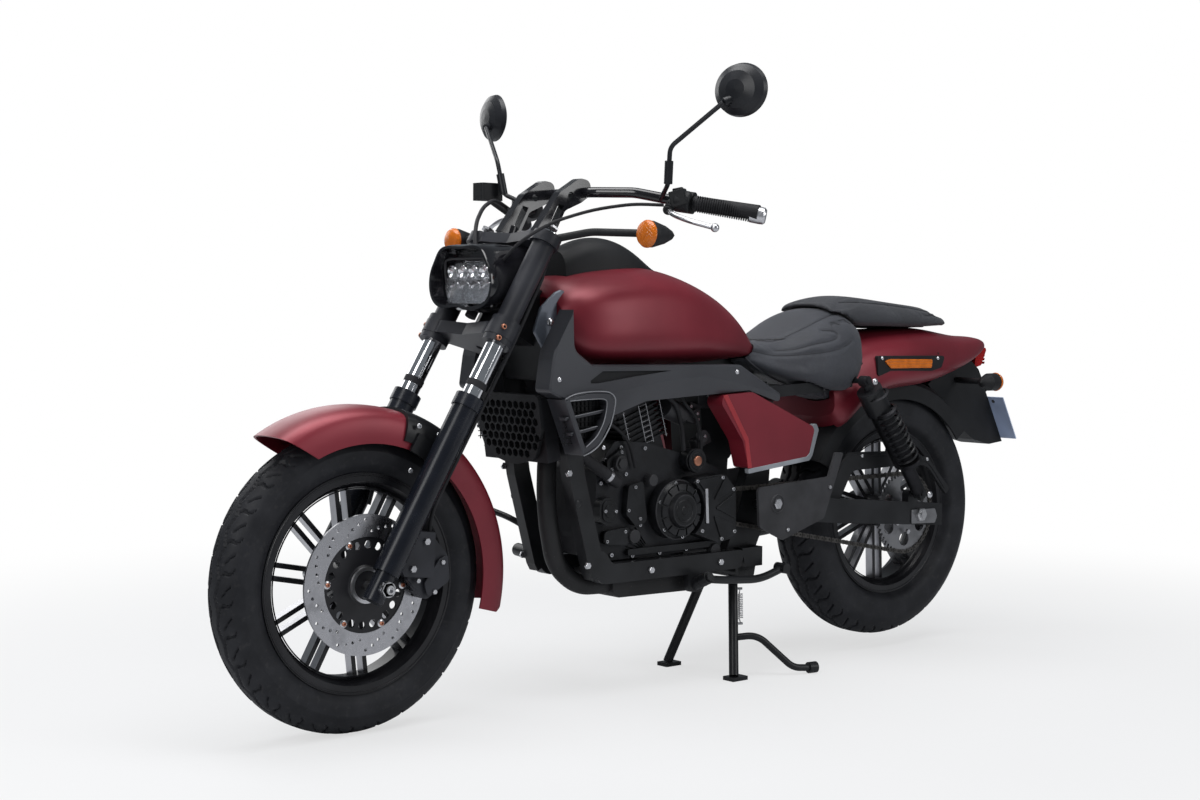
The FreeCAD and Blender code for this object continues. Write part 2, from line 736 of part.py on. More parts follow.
def handlebar():
    moved = DATUM
    spacing = size("riser_spacing") / 2
    width = size("riser_width")
    outline = [(1142, 1010), (1100, 990), (1066, 1052, 18), (1022, 1070, 20), (994, 1088, 16), (998, 1118, 16),
               (1026, 1122, 18), (1080, 1090, 22)]
    risers = []
    bar_centre = Vector(1011 + moved, 0, 1092)
    for side in (-1, 1):
        y = side * spacing
        shifted = [(p[0] + moved,) + tuple(p[1:]) for p in outline]
        arm = side_prism(shifted, y - width / 2, y + width / 2)
        window = side_prism([(1112 + moved, 1014), (1096 + moved, 1012), (1068 + moved, 1062),
                             (1084 + moved, 1066)], y - width, y + width)
        eye = Part.makeCylinder(8, 2 * width, Vector(1050 + moved, y - width, 1084), Vector(0, 1, 0))
        grip = Part.makeCylinder(size("bar_radius"), 2 * width, Vector(bar_centre.x, y - width, bar_centre.z),
                                 Vector(0, 1, 0))
        arm = arm.cut(Part.makeCompound([window, eye])).cut(grip)
        top = on_fork(size("upper_yoke_at") + size("upper_yoke_height"))
        under = Part.makeBox(400, 400, 200, Vector(-200, -200, -200))
        under.rotate(Vector(0, 0, 0), Vector(0, 1, 0), -size("rake"))
        under.translate(top)
        foot = rod(on_fork(size("upper_yoke_at") + size("upper_yoke_height"), -26, y), Vector(1106 + moved, y, 1020), 15)
        risers.append(arm.fuse(foot).cut(under))
    feature("risers", Part.makeCompound(risers))
    points = [Vector(bar_centre.x, 0, bar_centre.z), Vector(bar_centre.x, 90, bar_centre.z),
              Vector(962 + moved, 175, 1090), Vector(905 + moved, 240, 1073), Vector(828 + moved, 380, 1049)]
    half = tube(points, size("bar_radius"), [60, 90, 80])
    feature("handlebar", half.fuse(mirrored(half)).removeSplitter())
    start = points[3]
    run = points[4] - points[3]
    run.normalize()
    end = points[4] + run * 22
    sleeve = rod(end - run * (size("grip_length") + 20), end, size("grip_radius"))
    sleeve = sleeve.cut(rod(start, points[4], size("bar_radius")))
    feature("grips", both_sides(sleeve))
    cluster = rod(start + run * 4, start + run * 41, 23)
    cluster = cluster.cut(rod(points[2], points[3], size("bar_radius")))
    cluster = cluster.cut(rod(start, points[4], size("bar_radius")))
    perch = rod(Vector(908 + moved, 236, 1071), Vector(950 + moved, 266, 1051), 11)
    feature("switchgear", both_sides(cluster.fuse(perch).cut(half)))


def controls():
    """Levers, mirrors and front signals, all carried by the handlebar and yoke."""
    moved = DATUM
    levers = tube([Vector(946 + moved, 262, 1052), Vector(968 + moved, 300, 1040),
                   Vector(958 + moved, 340, 1026), Vector(930 + moved, 386, 1012)], 5.5)
    ball = Part.makeSphere(9, Vector(930 + moved, 386, 1012))
    feature("levers", both_sides(levers.fuse(ball)).cut(made("switchgear")))
    stem = tube([Vector(930 + moved, 222, 1076), Vector(961 + moved, 278, 1104),
                 Vector(969 + moved, 292, 1178), Vector(921 + moved, 399, 1265)], 5, [20, 30])
    boot = rod(Vector(961 + moved, 278, 1104), Vector(966 + moved, 286, 1150), 9)
    dome = turned([(-12, 0), (-12, 50), (-8, 56), (2, 53), (12, 39), (18, 20), (20, 0)],
                  Vector(0, 0, 0), Vector(1, 0, 0))
    oval = FreeCAD.Matrix()
    oval.scale(1, 1.12, 0.98)
    dome = dome.transformGeometry(oval)
    dome.rotate(Vector(0, 0, 0), Vector(0, 0, 1), 12)
    dome.translate(Vector(892 + moved, 415, 1291))
    mirror = stem.multiFuse([boot, dome, rod(Vector(921 + moved, 399, 1265), Vector(897 + moved, 408, 1275), 9)])
    feature("mirrors", both_sides(mirror).cut(made("handlebar")))
    bulb = turned([(-62, 0), (-50, 10), (-30, 19), (0, 27), (12, 27), (22, 20), (25, 0)],
                  Vector(1052 + moved, 331, 997), Vector(1, 0, 0.02))
    stalk = tube([on_fork(size("upper_yoke_at") + 12, 0, LEG_Y), Vector(1085 + moved, 180, 1004),
                  Vector(1040 + moved, 312, 999)], 8, [60])
    stalk = stalk.cut(made("fork_yokes")).cut(made("fork_tubes"))
    stalk = sorted(stalk.Solids, key=lambda item: item.Volume)[-1]
    feature("front_signals", both_sides(bulb.fuse(stalk)))


def reservoir():
    """The brake's fluid cup on the right lever's perch."""
    moved = DATUM
    cup = Part.makeBox(60, 42, 40, Vector(947 + moved, -339, 1090))
    cup = cup.makeFillet(7, [edge for edge in cup.Edges if abs(edge.Vertexes[0].Z - edge.Vertexes[1].Z) > 1])
    neck = rod(Vector(946 + moved, -262, 1056), Vector(974 + moved, -312, 1094), 10)
    cup = cup.fuse(neck).cut(made("switchgear")).cut(made("levers"))
    feature("brake_reservoir", sorted(cup.Solids, key=lambda item: item.Volume)[-1])


def hoses():
    """The brake hose and the clutch cable, held at every bend."""
    moved = DATUM
    radius = size("hose_radius")
    hood = made("headlight_hood")
    caliper = made("brake_caliper")

    def longest(shape):
        return sorted(shape.Solids, key=lambda item: item.Volume)[-1]

    upper = tube([Vector(962 + moved, -268, 1074), Vector(1020 + moved, -238, 1088),
                  Vector(1100 + moved, -172, 1066), Vector(1160 + moved, -115, 1030),
                  Vector(1190 + moved, -80, 992), Vector(1197 + moved, -62, 952)], radius)
    upper = longest(upper.cut(hood).cut(made("brake_reservoir")).cut(made("switchgear")))
    lower = tube([on_fork(size("upper_yoke_at"), -28, 93), on_fork(738, -31, 111), on_fork(600, -36, 113),
                  on_fork(420, -38, 108), on_fork(AXLE_UP + 190, -41, 100),
                  Vector(1430 + moved, 88, 380)], radius)
    cable = tube([Vector(958 + moved, 262, 1061), Vector(1007 + moved, 224, 1063), Vector(1085 + moved, 186, 1050),
                  Vector(1165 + moved, 148, 1022), Vector(1214 + moved, 112, 985), Vector(1232 + moved, 74, 945)],
                 size("cable_radius"))
    cable = longest(cable.cut(hood).cut(made("switchgear")).cut(made("mirrors")))
    feature("control_cables", Part.makeCompound([upper, longest(lower.cut(caliper).cut(made("fork_yokes"))), cable]))


# Frame: spine with the head tube, cradle rails, rear subframe
def spine_shape():
    lower_top = size("lower_yoke_at") + size("lower_yoke_height") - 14
    start = on_fork(lower_top + size("bearing_gap"), -size("fork_setback"))
    end = on_fork(size("upper_yoke_at") - size("bearing_gap"), -size("fork_setback"))
    half = size("spine_half_width")
    beam = side_prism(
        [(end.x + 12, end.z - 40), (end.x - 60, end.z - 100, 40)]
        + on_chassis([(640, 792, 60), (470, 716, 30), (440, 640), (490, 640, 20), (650, 716, 60),
                      (1040, 722, 40)])
        + [(start.x - 30, start.z + 20)],
        -half, half,
    )
    head = rod(start, end, size("head_tube_radius"))
    bore = rod(start - FORK_UP * 5, end + FORK_UP * 5, size("stem_radius") + size("stem_clearance"))
    front_cross = side_prism(on_chassis([(1062, 690), (1106, 694), (1120, 788), (1078, 784)]),
                             -RAIL_INNER, RAIL_INNER)
    rear_cross = side_prism(on_chassis([(445, 640), (490, 640), (486, 676), (441, 676)]),
                            PLATE_LOW, -PLATE_LOW)
    return beam.multiFuse([head, front_cross, rear_cross]).cut(bore).removeSplitter()


def rail_shape():
    depth = size("rail_depth")
    down = side_prism(ribbon(on_chassis([(1099, 738), (1059, 486), (1004, 290), (996, 276)]), depth),
                      RAIL_INNER, RAIL_OUTER)
    low = side_prism(on_chassis([(1030, 300, 30), (990, 255, 30), (575, 255, 12), (560, 297, 12), (960, 297, 20),
                                 (985, 330, 20), (1018, 322)]), RAIL_INNER, RAIL_OUTER)
    plate_high = RAIL_INNER + 5
    plate = side_prism(on_chassis([(600, 262, 10), (598, 292, 10), (575, 340, 20), (545, 430, 20), (500, 560, 30),
                                   (492, 672), (446, 672), (452, 560, 30), (462, 430, 20), (480, 340, 20),
                                   (520, 262, 16)]), PLATE_LOW, plate_high)
    pin = Vector(DATUM + size("stand_pivot_at"), 0, size("stand_pivot_height"))
    lug = side_prism([(pin.x - 30, pin.z + 24), (pin.x + 30, pin.z + 24), (pin.x + 23, pin.z - 16, 14),
                      (pin.x - 21, pin.z - 16, 14)], RAIL_INNER, RAIL_INNER + 10)
    web = side_prism([(pin.x + 25, pin.z + 18), (pin.x - 30, pin.z + 18), (pin.x - 30, 300), (pin.x + 35, 300)],
                     RAIL_INNER, RAIL_OUTER)
    hole = Part.makeCylinder(8.3, 400, pin - Vector(0, 200, 0), Vector(0, 1, 0))
    shape = down.multiFuse([low, plate, lug, web])
    return shape.cut(hole).removeSplitter()


def subframe_shape():
    low = size("subframe_inner")
    high = low + size("subframe_width")
    rail = side_prism(ribbon(on_chassis([(492, 655), (300, 664), (190, 704), (-104, 726)]), 26), low, high)
    beam = side_prism(ribbon(on_chassis([(150, 707), (-300, 740)]), 26), 48, 62)
    tab = side_prism(on_chassis([(500, 640), (440, 640), (440, 672), (500, 672)]), RAIL_INNER + 5, low)
    stud = Part.makeCylinder(6, size("shock_plane") + 14 - high, Vector(DATUM + 226, high, 676), Vector(0, 1, 0))
    ear = side_prism(on_chassis([(245, 660, 8), (245, 692, 8), (207, 692, 8), (207, 660, 8)]), low, high)
    half = rail.multiFuse([tab, stud, ear, beam])
    cross = []
    for x, z in ((330, 652), (120, 706), (-104, 716)):
        cross.append(Part.makeBox(24, 2 * low, 16, Vector(DATUM + x, -low, z)))
    cross.append(Part.makeBox(24, 100, 16, Vector(DATUM - 280, -50, 728)))
    return half.multiFuse([mirrored(half)] + cross).removeSplitter()


def frame():
    pivot_bolt = Part.makeCylinder(10, 2 * ARM_OUTER, PIVOT - Vector(0, ARM_OUTER, 0), Vector(0, 1, 0))
    rail = rail_shape().cut(pivot_bolt)
    plate = side_prism(on_chassis([(684, 262), (740, 262), (732, 214, 10), (692, 214, 10)]), RAIL_OUTER - 16, RAIL_OUTER)
    boss = rod(SIDE_HINGE - SIDE_AXIS * 40, SIDE_HINGE - SIDE_AXIS * 14, 14)
    bolt = rod(SIDE_HINGE - SIDE_AXIS * 20, SIDE_HINGE + SIDE_AXIS * 16, 6)
    head = rod(SIDE_HINGE + SIDE_AXIS * 12, SIDE_HINGE + SIDE_AXIS * 17, 10)
    left = rail.multiFuse([plate, boss, bolt, head])
    feature("frame_spine", spine_shape())
    feature("cradle_rails", Part.makeCompound([left, mirrored(rail)]))
    feature("rear_subframe", subframe_shape())
    arm = side_prism(on_chassis([(530, 430, 30), (530, 368, 30), (290, 341)])
                     + [(-88, REAR_AXLE_Z - 33), (-88, REAR_AXLE_Z + 21)] + on_chassis([(290, 399)]),
                     ARM_INNER, ARM_OUTER)
    bridge = side_prism(on_chassis([(400, 372), (440, 376), (440, 412), (400, 408)]), -ARM_INNER, ARM_INNER)
    stud = Part.makeCylinder(6, size("shock_plane") + 14 - ARM_OUTER, Vector(22, ARM_OUTER, REAR_AXLE_Z + 54),
                             Vector(0, 1, 0))
    ear = side_prism([(40, REAR_AXLE_Z + 18), (40, REAR_AXLE_Z + 60, 10), (4, REAR_AXLE_Z + 60, 10),
                      (4, REAR_AXLE_Z + 18)], ARM_INNER + 6, ARM_OUTER)
    half = arm.multiFuse([ear, stud])
    axle_hole = Part.makeCylinder(size("axle_radius"), 400, REAR_AXLE - Vector(0, 200, 0), Vector(0, 1, 0))
    swing = half.multiFuse([mirrored(half), bridge, pivot_bolt]).cut(axle_hole)
    feature("swingarm", swing.removeSplitter())
    end = ARM_OUTER + 18
    axle = Part.makeCylinder(size("axle_radius"), 2 * end, REAR_AXLE - Vector(0, end, 0), Vector(0, 1, 0))
    extras = []
    for low, high, radius in ((ARM_OUTER, ARM_OUTER + 12, 14), (-ARM_OUTER - 12, -ARM_OUTER, 14),
                              (size("chain_plane") + 15, ARM_INNER, 15), (-ARM_INNER, -80, 15)):
        extras.append(Part.makeCylinder(radius, high - low, REAR_AXLE + Vector(0, low, 0), Vector(0, 1, 0)))
    feature("rear_axle", axle.multiFuse(extras))


CYLINDER_LEAN = math.radians(size("cylinder_lean"))
BARREL_UP = Vector(math.sin(CYLINDER_LEAN), 0, math.cos(CYLINDER_LEAN))
BARREL_AHEAD = Vector(math.cos(CYLINDER_LEAN), 0, -math.sin(CYLINDER_LEAN))
BARREL_BASE = Vector(DATUM + 806, 0, 500)
EXHAUST_PORT = BARREL_BASE + BARREL_UP * 165 + BARREL_AHEAD * 84


def engine():
    half = size("engine_half_width")
    outline = on_chassis([(950, 300, 20), (985, 350, 30), (982, 500, 20), (930, 560, 20), (840, 552, 10),
                          (720, 520, 30), (620, 486, 20), (600, 420), (604, 330, 20), (650, 302, 16)])
    body = padded_plate("crankcase", outline, "-Sizes.engine_half_width", "Sizes.engine_half_width")
    case = made_now(keep(body, "crankcase"))
    up, ahead = BARREL_UP, BARREL_AHEAD
    base = BARREL_BASE
    wide = size("cylinder_half_width")

    def block(low, high, back, front, side):
        corners = [base + up * low + ahead * back, base + up * low + ahead * front,
                   base + up * high + ahead * front, base + up * high + ahead * back]
        return side_prism([(c.x, c.z) for c in corners], -side, side)

    barrel = block(0, 200, -52, 52, wide - 8)
    fins = []
    count = int(size("fin_count"))
    for index in range(count):
        low = 52 + index * 12
        fins.append(block(low, low + 4, -60, 60, wide))
    head = block(140, 196, -66, 70, wide + 6)
    cover = block(196, 206, -50, 50, wide - 6)
    port = rod(EXHAUST_PORT - ahead * 24, EXHAUST_PORT, 26)
    intake = rod(base + up * 172 - ahead * 66, base + up * 160 - ahead * 130, 24)
    cylinder = barrel.multiFuse(fins + [head, cover, port, intake]).cut(case).cut(spine_shape())
    feature("cylinder", cylinder.removeSplitter())
    covers = []
    centre = Vector(DATUM + 769, half, 402)
    radius = size("cover_radius")
    depth = size("cover_depth")
    generator = turned([(0, 0), (0, radius), (depth * 0.55, radius), (depth * 0.72, radius - 8),
                        (depth * 0.8, radius - 26), (depth, radius - 30), (depth, 0)], centre)
    covers.append(generator)
    clear = Part.makeCylinder(radius + 1, 200, centre, Vector(0, 1, 0))
    sprocket_cover = side_prism(on_chassis([(740, 470, 20), (640, 476, 30), (606, 440, 10), (604, 330, 16),
                                            (660, 322, 10), (740, 350)]), half, half + 44)
    sprocket_cover = sprocket_cover.cut(clear)
    covers.append(sprocket_cover.cut(chain_space()))
    covers.append(Part.makeCylinder(26, 34, Vector(DATUM + 716, half, 508), Vector(0, 1, 0)).cut(clear).cut(case))
    front_oval = side_prism(on_chassis([(990, 440, 20), (990, 385, 20), (940, 375, 20), (940, 440, 20)]),
                            half, half + 22)
    covers.append(front_oval)
    clutch = turned([(0, 0), (0, -78), (-34, -78), (-42, -66), (-42, 0)], Vector(DATUM + 700, -half, 404))
    pump = turned([(0, 0), (0, -34), (-38, -30), (-38, 0)], Vector(DATUM + 860, -half, 380))
    covers.extend([clutch, pump])
    feature("engine_covers", Part.makeCompound(covers))
    airbox = side_prism(on_chassis([(640, 500, 16), (655, 690, 10), (560, 690), (515, 630), (515, 560, 10),
                                    (560, 500, 16)]), -52, 52)
    feature("airbox", airbox.cut(spine_shape()))


def chain_line(radius_add):
    """The chain's loop in side view: straight runs tangent to both sprockets."""
    front = Vector(DATUM + 640, 402, 0)
    rear = Vector(0, REAR_AXLE_Z, 0)
    big = PITCH_RADIUS + radius_add
    small = size("front_sprocket_radius") + radius_add
    gap = front - rear
    tilt = math.asin((big - small) / gap.Length)
    heading = math.atan2(gap.y, gap.x)
    edges = []
    spots = []
    for side in (1, -1):
        angle = heading + side * (math.pi / 2 - tilt)
        ray = Vector(math.cos(angle), math.sin(angle), 0)
        spots.append((rear + ray * big, front + ray * small))
    back = Vector(-math.cos(heading), -math.sin(heading), 0)
    edges.append(Part.LineSegment(spots[0][0], spots[0][1]))
    edges.append(Part.Arc(spots[0][1], front - back * small, spots[1][1]))
    edges.append(Part.LineSegment(spots[1][1], spots[1][0]))
    edges.append(Part.Arc(spots[1][0], rear + back * big, spots[0][0]))
    return Part.Wire([edge.toShape() for edge in edges])


def flat_prism(wire, low, high):
    place = FreeCAD.Matrix(1, 0, 0, 0, 0, 0, -1, low, 0, 1, 0, 0, 0, 0, 0, 1)
    return Part.Face(wire.transformed(place, copy=True)).extrude(Vector(0, high - low, 0))


def chain_space():
    plane = size("chain_plane")
    wide = size("chain_width")
    return flat_prism(chain_line(14), plane - wide / 2 - 4, plane + wide / 2 + 4)


def chain():
    plane = size("chain_plane")
    wide = size("chain_width")
    outer = flat_prism(chain_line(9), plane - wide / 2, plane + wide / 2)
    inner = flat_prism(chain_line(4.4), plane - wide / 2 - 1, plane + wide / 2 + 1)
    feature("drive_chain", outer.cut(inner))
    outline = [(PIVOT.x - 203, 385), (PIVOT.x - 203, 400, 10), (PIVOT.x - 267, 504, 20),
               (60, 500, 60), (-62, REAR_AXLE_Z + 136, 40), (-150, REAR_AXLE_Z + 52, 10),
               (-134, REAR_AXLE_Z + 40), (-60, REAR_AXLE_Z + 116, 50), (30, REAR_AXLE_Z + 120, 60),
               (PIVOT.x - 288, 460, 30), (PIVOT.x - 241, 385)]
    keep(padded_plate("chain_guard", outline, "Sizes.arm_inner - 9", "Sizes.arm_inner"), "chain_guard")


def mudguard_radius():
    return size("rear_tyre_radius") + size("mudguard_gap")


def rear_suspension():
    plane = size("shock_plane")
    top = Vector(DATUM + 226, plane, 676)
    low = Vector(22, plane, REAR_AXLE_Z + 54)
    run = low - top
    length = run.Length
    run.normalize()
    radius = size("shock_radius")
    parts = []
    for centre in (top, low):
        parts.append(Part.makeCylinder(13, 22, centre - Vector(0, 11, 0), Vector(0, 1, 0)))
    parts.append(rod(top + run * 8, top + run * 30, 12))
    parts.append(rod(top + run * 24, top + run * 90, radius))
    parts.append(rod(top + run * 90, top + run * (length - 96), radius - 5))
    parts.append(rod(top + run * (length - 96), top + run * (length - 8), size("shock_rod_radius")))
    shock = parts[0].multiFuse(parts[1:])
    for centre in (top, low):
        shock = shock.cut(Part.makeCylinder(6, 60, centre - Vector(0, 30, 0), Vector(0, 1, 0)))
    feature("rear_shocks", both_sides(shock))
    outer = mudguard_radius()
    guard = turned([(-84, outer - 55), (-84, outer - 17), (-60, outer), (60, outer), (84, outer - 17),
                    (84, outer - 55), (80, outer - 55), (80, outer - 19), (58, outer - 4), (-58, outer - 4),
                    (-80, outer - 19), (-80, outer - 55)], REAR_AXLE)
    wedge = side_prism([(0, REAR_AXLE_Z), (520, REAR_AXLE_Z + 250), (520, REAR_AXLE_Z + 600),
                        (-560, REAR_AXLE_Z + 600), (-560, REAR_AXLE_Z + 430)], -100, 100)
    return guard.common(wedge)


def shroud_shape():
    """The left shroud: a folded panel with a slot and a framed air scoop at its front."""
    outer = size("shroud_outer")
    panel = edged(on_chassis([(1166, 742, 10), (1176, 675, 12), (1130, 655, 10), (1082, 540, 8),
                              (1040, 555, 30), (1010, 612, 20), (900, 648, 60), (690, 658, 60),
                              (600, 664, 20), (500, 634, 10), (500, 654, 10), (628, 722, 30),
                              (1060, 729, 10), (1108, 760, 30), (1112, 880, 16), (1128, 890, 10)]),
                  RAIL_OUTER, outer, 4)
    fold = []
    for x, crease in ((470, 642), (569, 667), (660, 687), (744, 698), (826, 693), (916, 683), (1008, 666)):
        corners = [Vector(DATUM + x, outer + 1, crease), Vector(DATUM + x, outer + 1, crease - 90),
                   Vector(DATUM + x, outer - 34, crease - 90), Vector(DATUM + x, outer, crease)]
        fold.append(Part.makePolygon(corners + corners[:1]))
    panel = panel.cut(Part.makeLoft(fold, True, True))
    slot = side_prism(on_chassis([(1078, 690, 4), (1034, 715, 4), (838, 713), (947, 702, 20), (1047, 690, 4)]),
                      outer - 7, outer + 1)
    scoop = edged(on_chassis([(1144, 658), (1078, 673, 20), (1022, 671, 14), (1008, 650, 12), (1014, 618, 20),
                              (1049, 564, 16), (1094, 541)]), RAIL_OUTER, outer + 12, 3)
    mouth = side_prism(on_chassis([(1132, 656, 4), (1041, 659, 8), (1030, 648, 8), (1037, 616, 16),
                                   (1060, 579, 12), (1090, 556, 3)]), outer - 16, outer + 20)
    shape = panel.fuse(scoop).cut(slot).cut(mouth)
    ribs = []
    for low, high in (((1136, 618), (1030, 632)), ((1122, 586), (1048, 598))):
        ribs.append(side_prism(ribbon(on_chassis([low, high]), 6), outer - 18, outer + 2))
    return shape.multiFuse(ribs)


def bodywork(spine, subframe, mudguard):
    tank = loft([
        (DATUM + 492, crowned(62, 736, 766)),
        (DATUM + 560, crowned(96, 735, 832)),
        (DATUM + 630, crowned(120, 733, 878)),
        (DATUM + 700, crowned(138, 732, 908)),
        (DATUM + 800, crowned(152, 732, 934)),
        (DATUM + 900, crowned(157, 732, 937)),
        (DATUM + 1000, crowned(153, 733, 926)),
        (DATUM + 1060, crowned(138, 742, 908)),
        (DATUM + 1100, crowned(112, 772, 872)),
    ])
    room = rod(on_fork(500, -40), on_fork(900, -40), 60)
    tank = tank.cut(spine).cut(room).cut(both_sides(rail_shape()))
    console = loft([
        (DATUM + 752, crowned(26, 900, 929)),
        (DATUM + 812, crowned(44, 900, 958)),
        (DATUM + 870, crowned(56, 900, 988)),
        (DATUM + 925, crowned(58, 895, 1000)),
        (DATUM + 990, crowned(54, 885, 990)),
        (DATUM + 1040, crowned(44, 870, 970)),
    ])
    console = console.cut(tank).cut(spine).cut(room)
    solids = sorted(console.Solids, key=lambda item: item.Volume)
    feature("fuel_tank", tank)
    feature("tank_console", solids[-1])
    seat = loft([
        (DATUM + 575, crowned(58, 742, 790)),
        (DATUM + 520, crowned(84, 712, 786)),
        (DATUM + 450, crowned(112, 686, 768)),
        (DATUM + 380, crowned(134, 662, 795)),
        (DATUM + 310, crowned(146, 642, 832)),
        (DATUM + 240, crowned(146, 640, 850)),
        (DATUM + 186, crowned(128, 700, 826)),
    ])
    rail_low = size("subframe_inner") - 0.5
    rail_high = rail_low + size("subframe_width") + 1
    pan = side_prism(on_chassis([(520, 600), (520, 671), (300, 680), (180, 724), (180, 600)]), rail_low, rail_high)
    tab_room = side_prism(on_chassis([(508, 600), (508, 674), (432, 674), (432, 600)]), RAIL_INNER + 4, rail_low + 1)
    stud_room = rod(Vector(DATUM + 226, rail_low, 676), Vector(DATUM + 226, size("shock_plane"), 676), 7)
    cross_room = Part.makeBox(26, 2 * rail_low + 2, 20, Vector(DATUM + 329, -rail_low - 1, 650))
    seat = seat.cut(tank).cut(spine).cut(both_sides(pan.multiFuse([tab_room, stud_room]))).cut(cross_room)
    pillion = loft([
        (DATUM + 262, crowned(84, 826, 864)),
        (DATUM + 200, crowned(106, 806, 876)),
        (DATUM + 100, crowned(112, 802, 872)),
        (DATUM + 0, crowned(106, 800, 862)),
        (DATUM - 100, crowned(94, 800, 852)),
        (DATUM - 196, crowned(66, 802, 828)),
    ]).cut(seat)
    tail = loft([
        (DATUM + 270, crowned(112, 590, 690)),
        (DATUM + 190, crowned(122, 584, 776)),
        (DATUM + 110, crowned(128, 636, 792)),
        (DATUM + 0, crowned(128, 655, 799)),
        (DATUM - 110, crowned(118, 666, 799)),
        (DATUM - 210, crowned(100, 688, 786)),
        (DATUM - 300, crowned(78, 714, 777)),
        (DATUM - 372, crowned(48, 740, 768)),
    ])
    wheel_room = Part.makeCylinder(mudguard_radius() + 0.3, 180, REAR_AXLE - Vector(0, 90, 0), Vector(0, 1, 0))
    tail = tail.cut(seat).cut(pillion).cut(subframe).cut(wheel_room)
    feature("rider_seat", seat)
    feature("pillion_seat", pillion)
    tail_solids = sorted(tail.Solids, key=lambda item: item.Volume)
    feature("tail_fairing", tail_solids[-1])
    feature("rear_mudguard", mudguard.cut(subframe).cut(tail_solids[-1]))
    shroud = shroud_shape().cut(tank).cut(fork_room(-66 - size("fork_setback")))
    shroud = sorted(shroud.Solids, key=lambda item: item.Volume)[-1]
    feature("shrouds", both_sides(shroud))
    plate = edged(on_chassis([(1102, 880, 8), (1087, 885, 8), (1073, 880, 8), (1078, 819, 30), (1060, 757, 8),
                              (1122, 742, 8), (1159, 798, 10), (1142, 848, 20)]), RAIL_INNER, RAIL_INNER + 7, 2)
    plate = plate.cut(tank).cut(fork_room(-93, 62))
    feature("head_plates", both_sides(sorted(plate.Solids, key=lambda item: item.Volume)[-1]))
    cover = side_prism(on_chassis([(700, 654, 16), (590, 660, 30), (385, 572, 12), (406, 505, 12), (600, 487, 10),
                                   (618, 550, 30)]), RAIL_OUTER, size("side_cover_outer"))
    boss = rod(Vector(DATUM + 476, RAIL_INNER + 5, 560), Vector(DATUM + 476, RAIL_OUTER + 2, 560), 9)
    feature("side_covers", both_sides(cover.cut(shroud).fuse(boss)))
    outline = on_chassis([(566, 442, 12), (333, 454, 6), (309, 510, 4), (283, 509, 4), (347, 358, 16),
                          (484, 317, 10), (560, 351, 12)])
    arm_side = "Sizes.arm_inner + Sizes.arm_width"
    pair("pivot_covers", padded_plate("pivot_cover", outline, arm_side, arm_side + " + 7"))


def cooling_and_exhaust():
    half = size("radiator_half_width")
    core = side_prism(on_chassis([(1104, 528), (1124, 664), (1158, 659), (1138, 523)]), -half, half)
    mounts = []
    for z, x in ((560, 1076), (640, 1088)):
        mounts.append(Part.makeBox(40, 16, 16, Vector(DATUM + x, RAIL_INNER + 6, z)))
    down = rail_shape()
    post = mounts[0].fuse(mounts[1]).cut(down)
    feature("radiator", core.multiFuse([mirrored(post), post]).removeSplitter())
    outline = [(-half, 664, 12), (-half, 590, 20), (-half + 30, 528, 40), (0, 508, 200), (half - 30, 528, 40),
               (half, 590, 20), (half, 664, 12)]
    lean = math.radians(8.4)
    place = FreeCAD.Matrix(0, math.sin(lean), math.cos(lean), DATUM + 1061,
                           1, 0, 0, 0,
                           0, math.cos(lean), -math.sin(lean), 10,
                           0, 0, 0, 1)
    face = Part.Face(wire_of(outline, place))
    plate = face.extrude(Vector(math.cos(lean), 0, -math.sin(lean)) * 9)
    pitch = size("mesh_pitch")
    reach = (pitch - size("mesh_bar")) / math.sqrt(3)
    cells = []
    for row in range(-1, 11):
        for column in range(-6, 7):
            along = (column + 0.5 * (row % 2)) * pitch
            down = 520 + row * pitch * math.sqrt(3) / 2
            if abs(along) > half - pitch * 0.75 or down > 652:
                continue
            if down < 524 + 0.0022 * along * along + pitch * 0.2:
                continue
            corners = []
            for corner in range(6):
                angle = math.radians(60 * corner + 30)
                corners.append(Vector(along + reach * math.cos(angle), down + reach * math.sin(angle), -6))
            cell = Part.Face(Part.makePolygon(corners + corners[:1])).extrude(Vector(0, 0, 30))
            cells.append(cell.transformed(place, copy=True))
    plate = plate.cut(core).cut(Part.makeCompound(cells))
    feature("radiator_guard", plate)
    radius = size("pipe_radius")
    path = [EXHAUST_PORT, EXHAUST_PORT + BARREL_AHEAD * 70, Vector(DATUM + 1078, 30, 545),
            Vector(DATUM + 1091, 42, 420), Vector(DATUM + 1068, 46, 296), Vector(DATUM + 1006, 46, 247),
            Vector(DATUM + 930, 46, 244)]
    feature("exhaust_pipe", tube(path, radius))
    box = side_prism(on_chassis([(930, 216, 20), (930, 270, 12), (720, 272, 12), (680, 250, 12), (690, 212, 16)]),
                     -60, 76)
    link = tube([Vector(DATUM + 720, -40, 236), Vector(DATUM + 690, -110, 226), Vector(DATUM + 660, -180, 262),
                 Vector(DATUM + 610, -206, 292)], 17)
    feature("exhaust_chamber", box.fuse(link).cut(tube(path, radius)))
    start = Vector(DATUM + 625, -205, 290)
    run = (Vector(DATUM + 120, -212, 322) - start)
    length = run.Length
    can = turned([(0, 0), (0, 26), (50, 46), (length - 60, 48), (length, 30), (length, 22), (length - 30, 22),
                  (length - 30, 0)], start, run)
    can = can.cut(link)
    strap = side_prism(on_chassis([(455, 326), (475, 326), (480, 420), (450, 420)]), -ARM_OUTER - 12, -ARM_OUTER - 7)
    hanger = side_prism(on_chassis([(455, 326), (475, 326), (475, 346), (455, 346)]), -206, -ARM_OUTER - 7)
    feature("silencer", can.multiFuse([strap, hanger]))


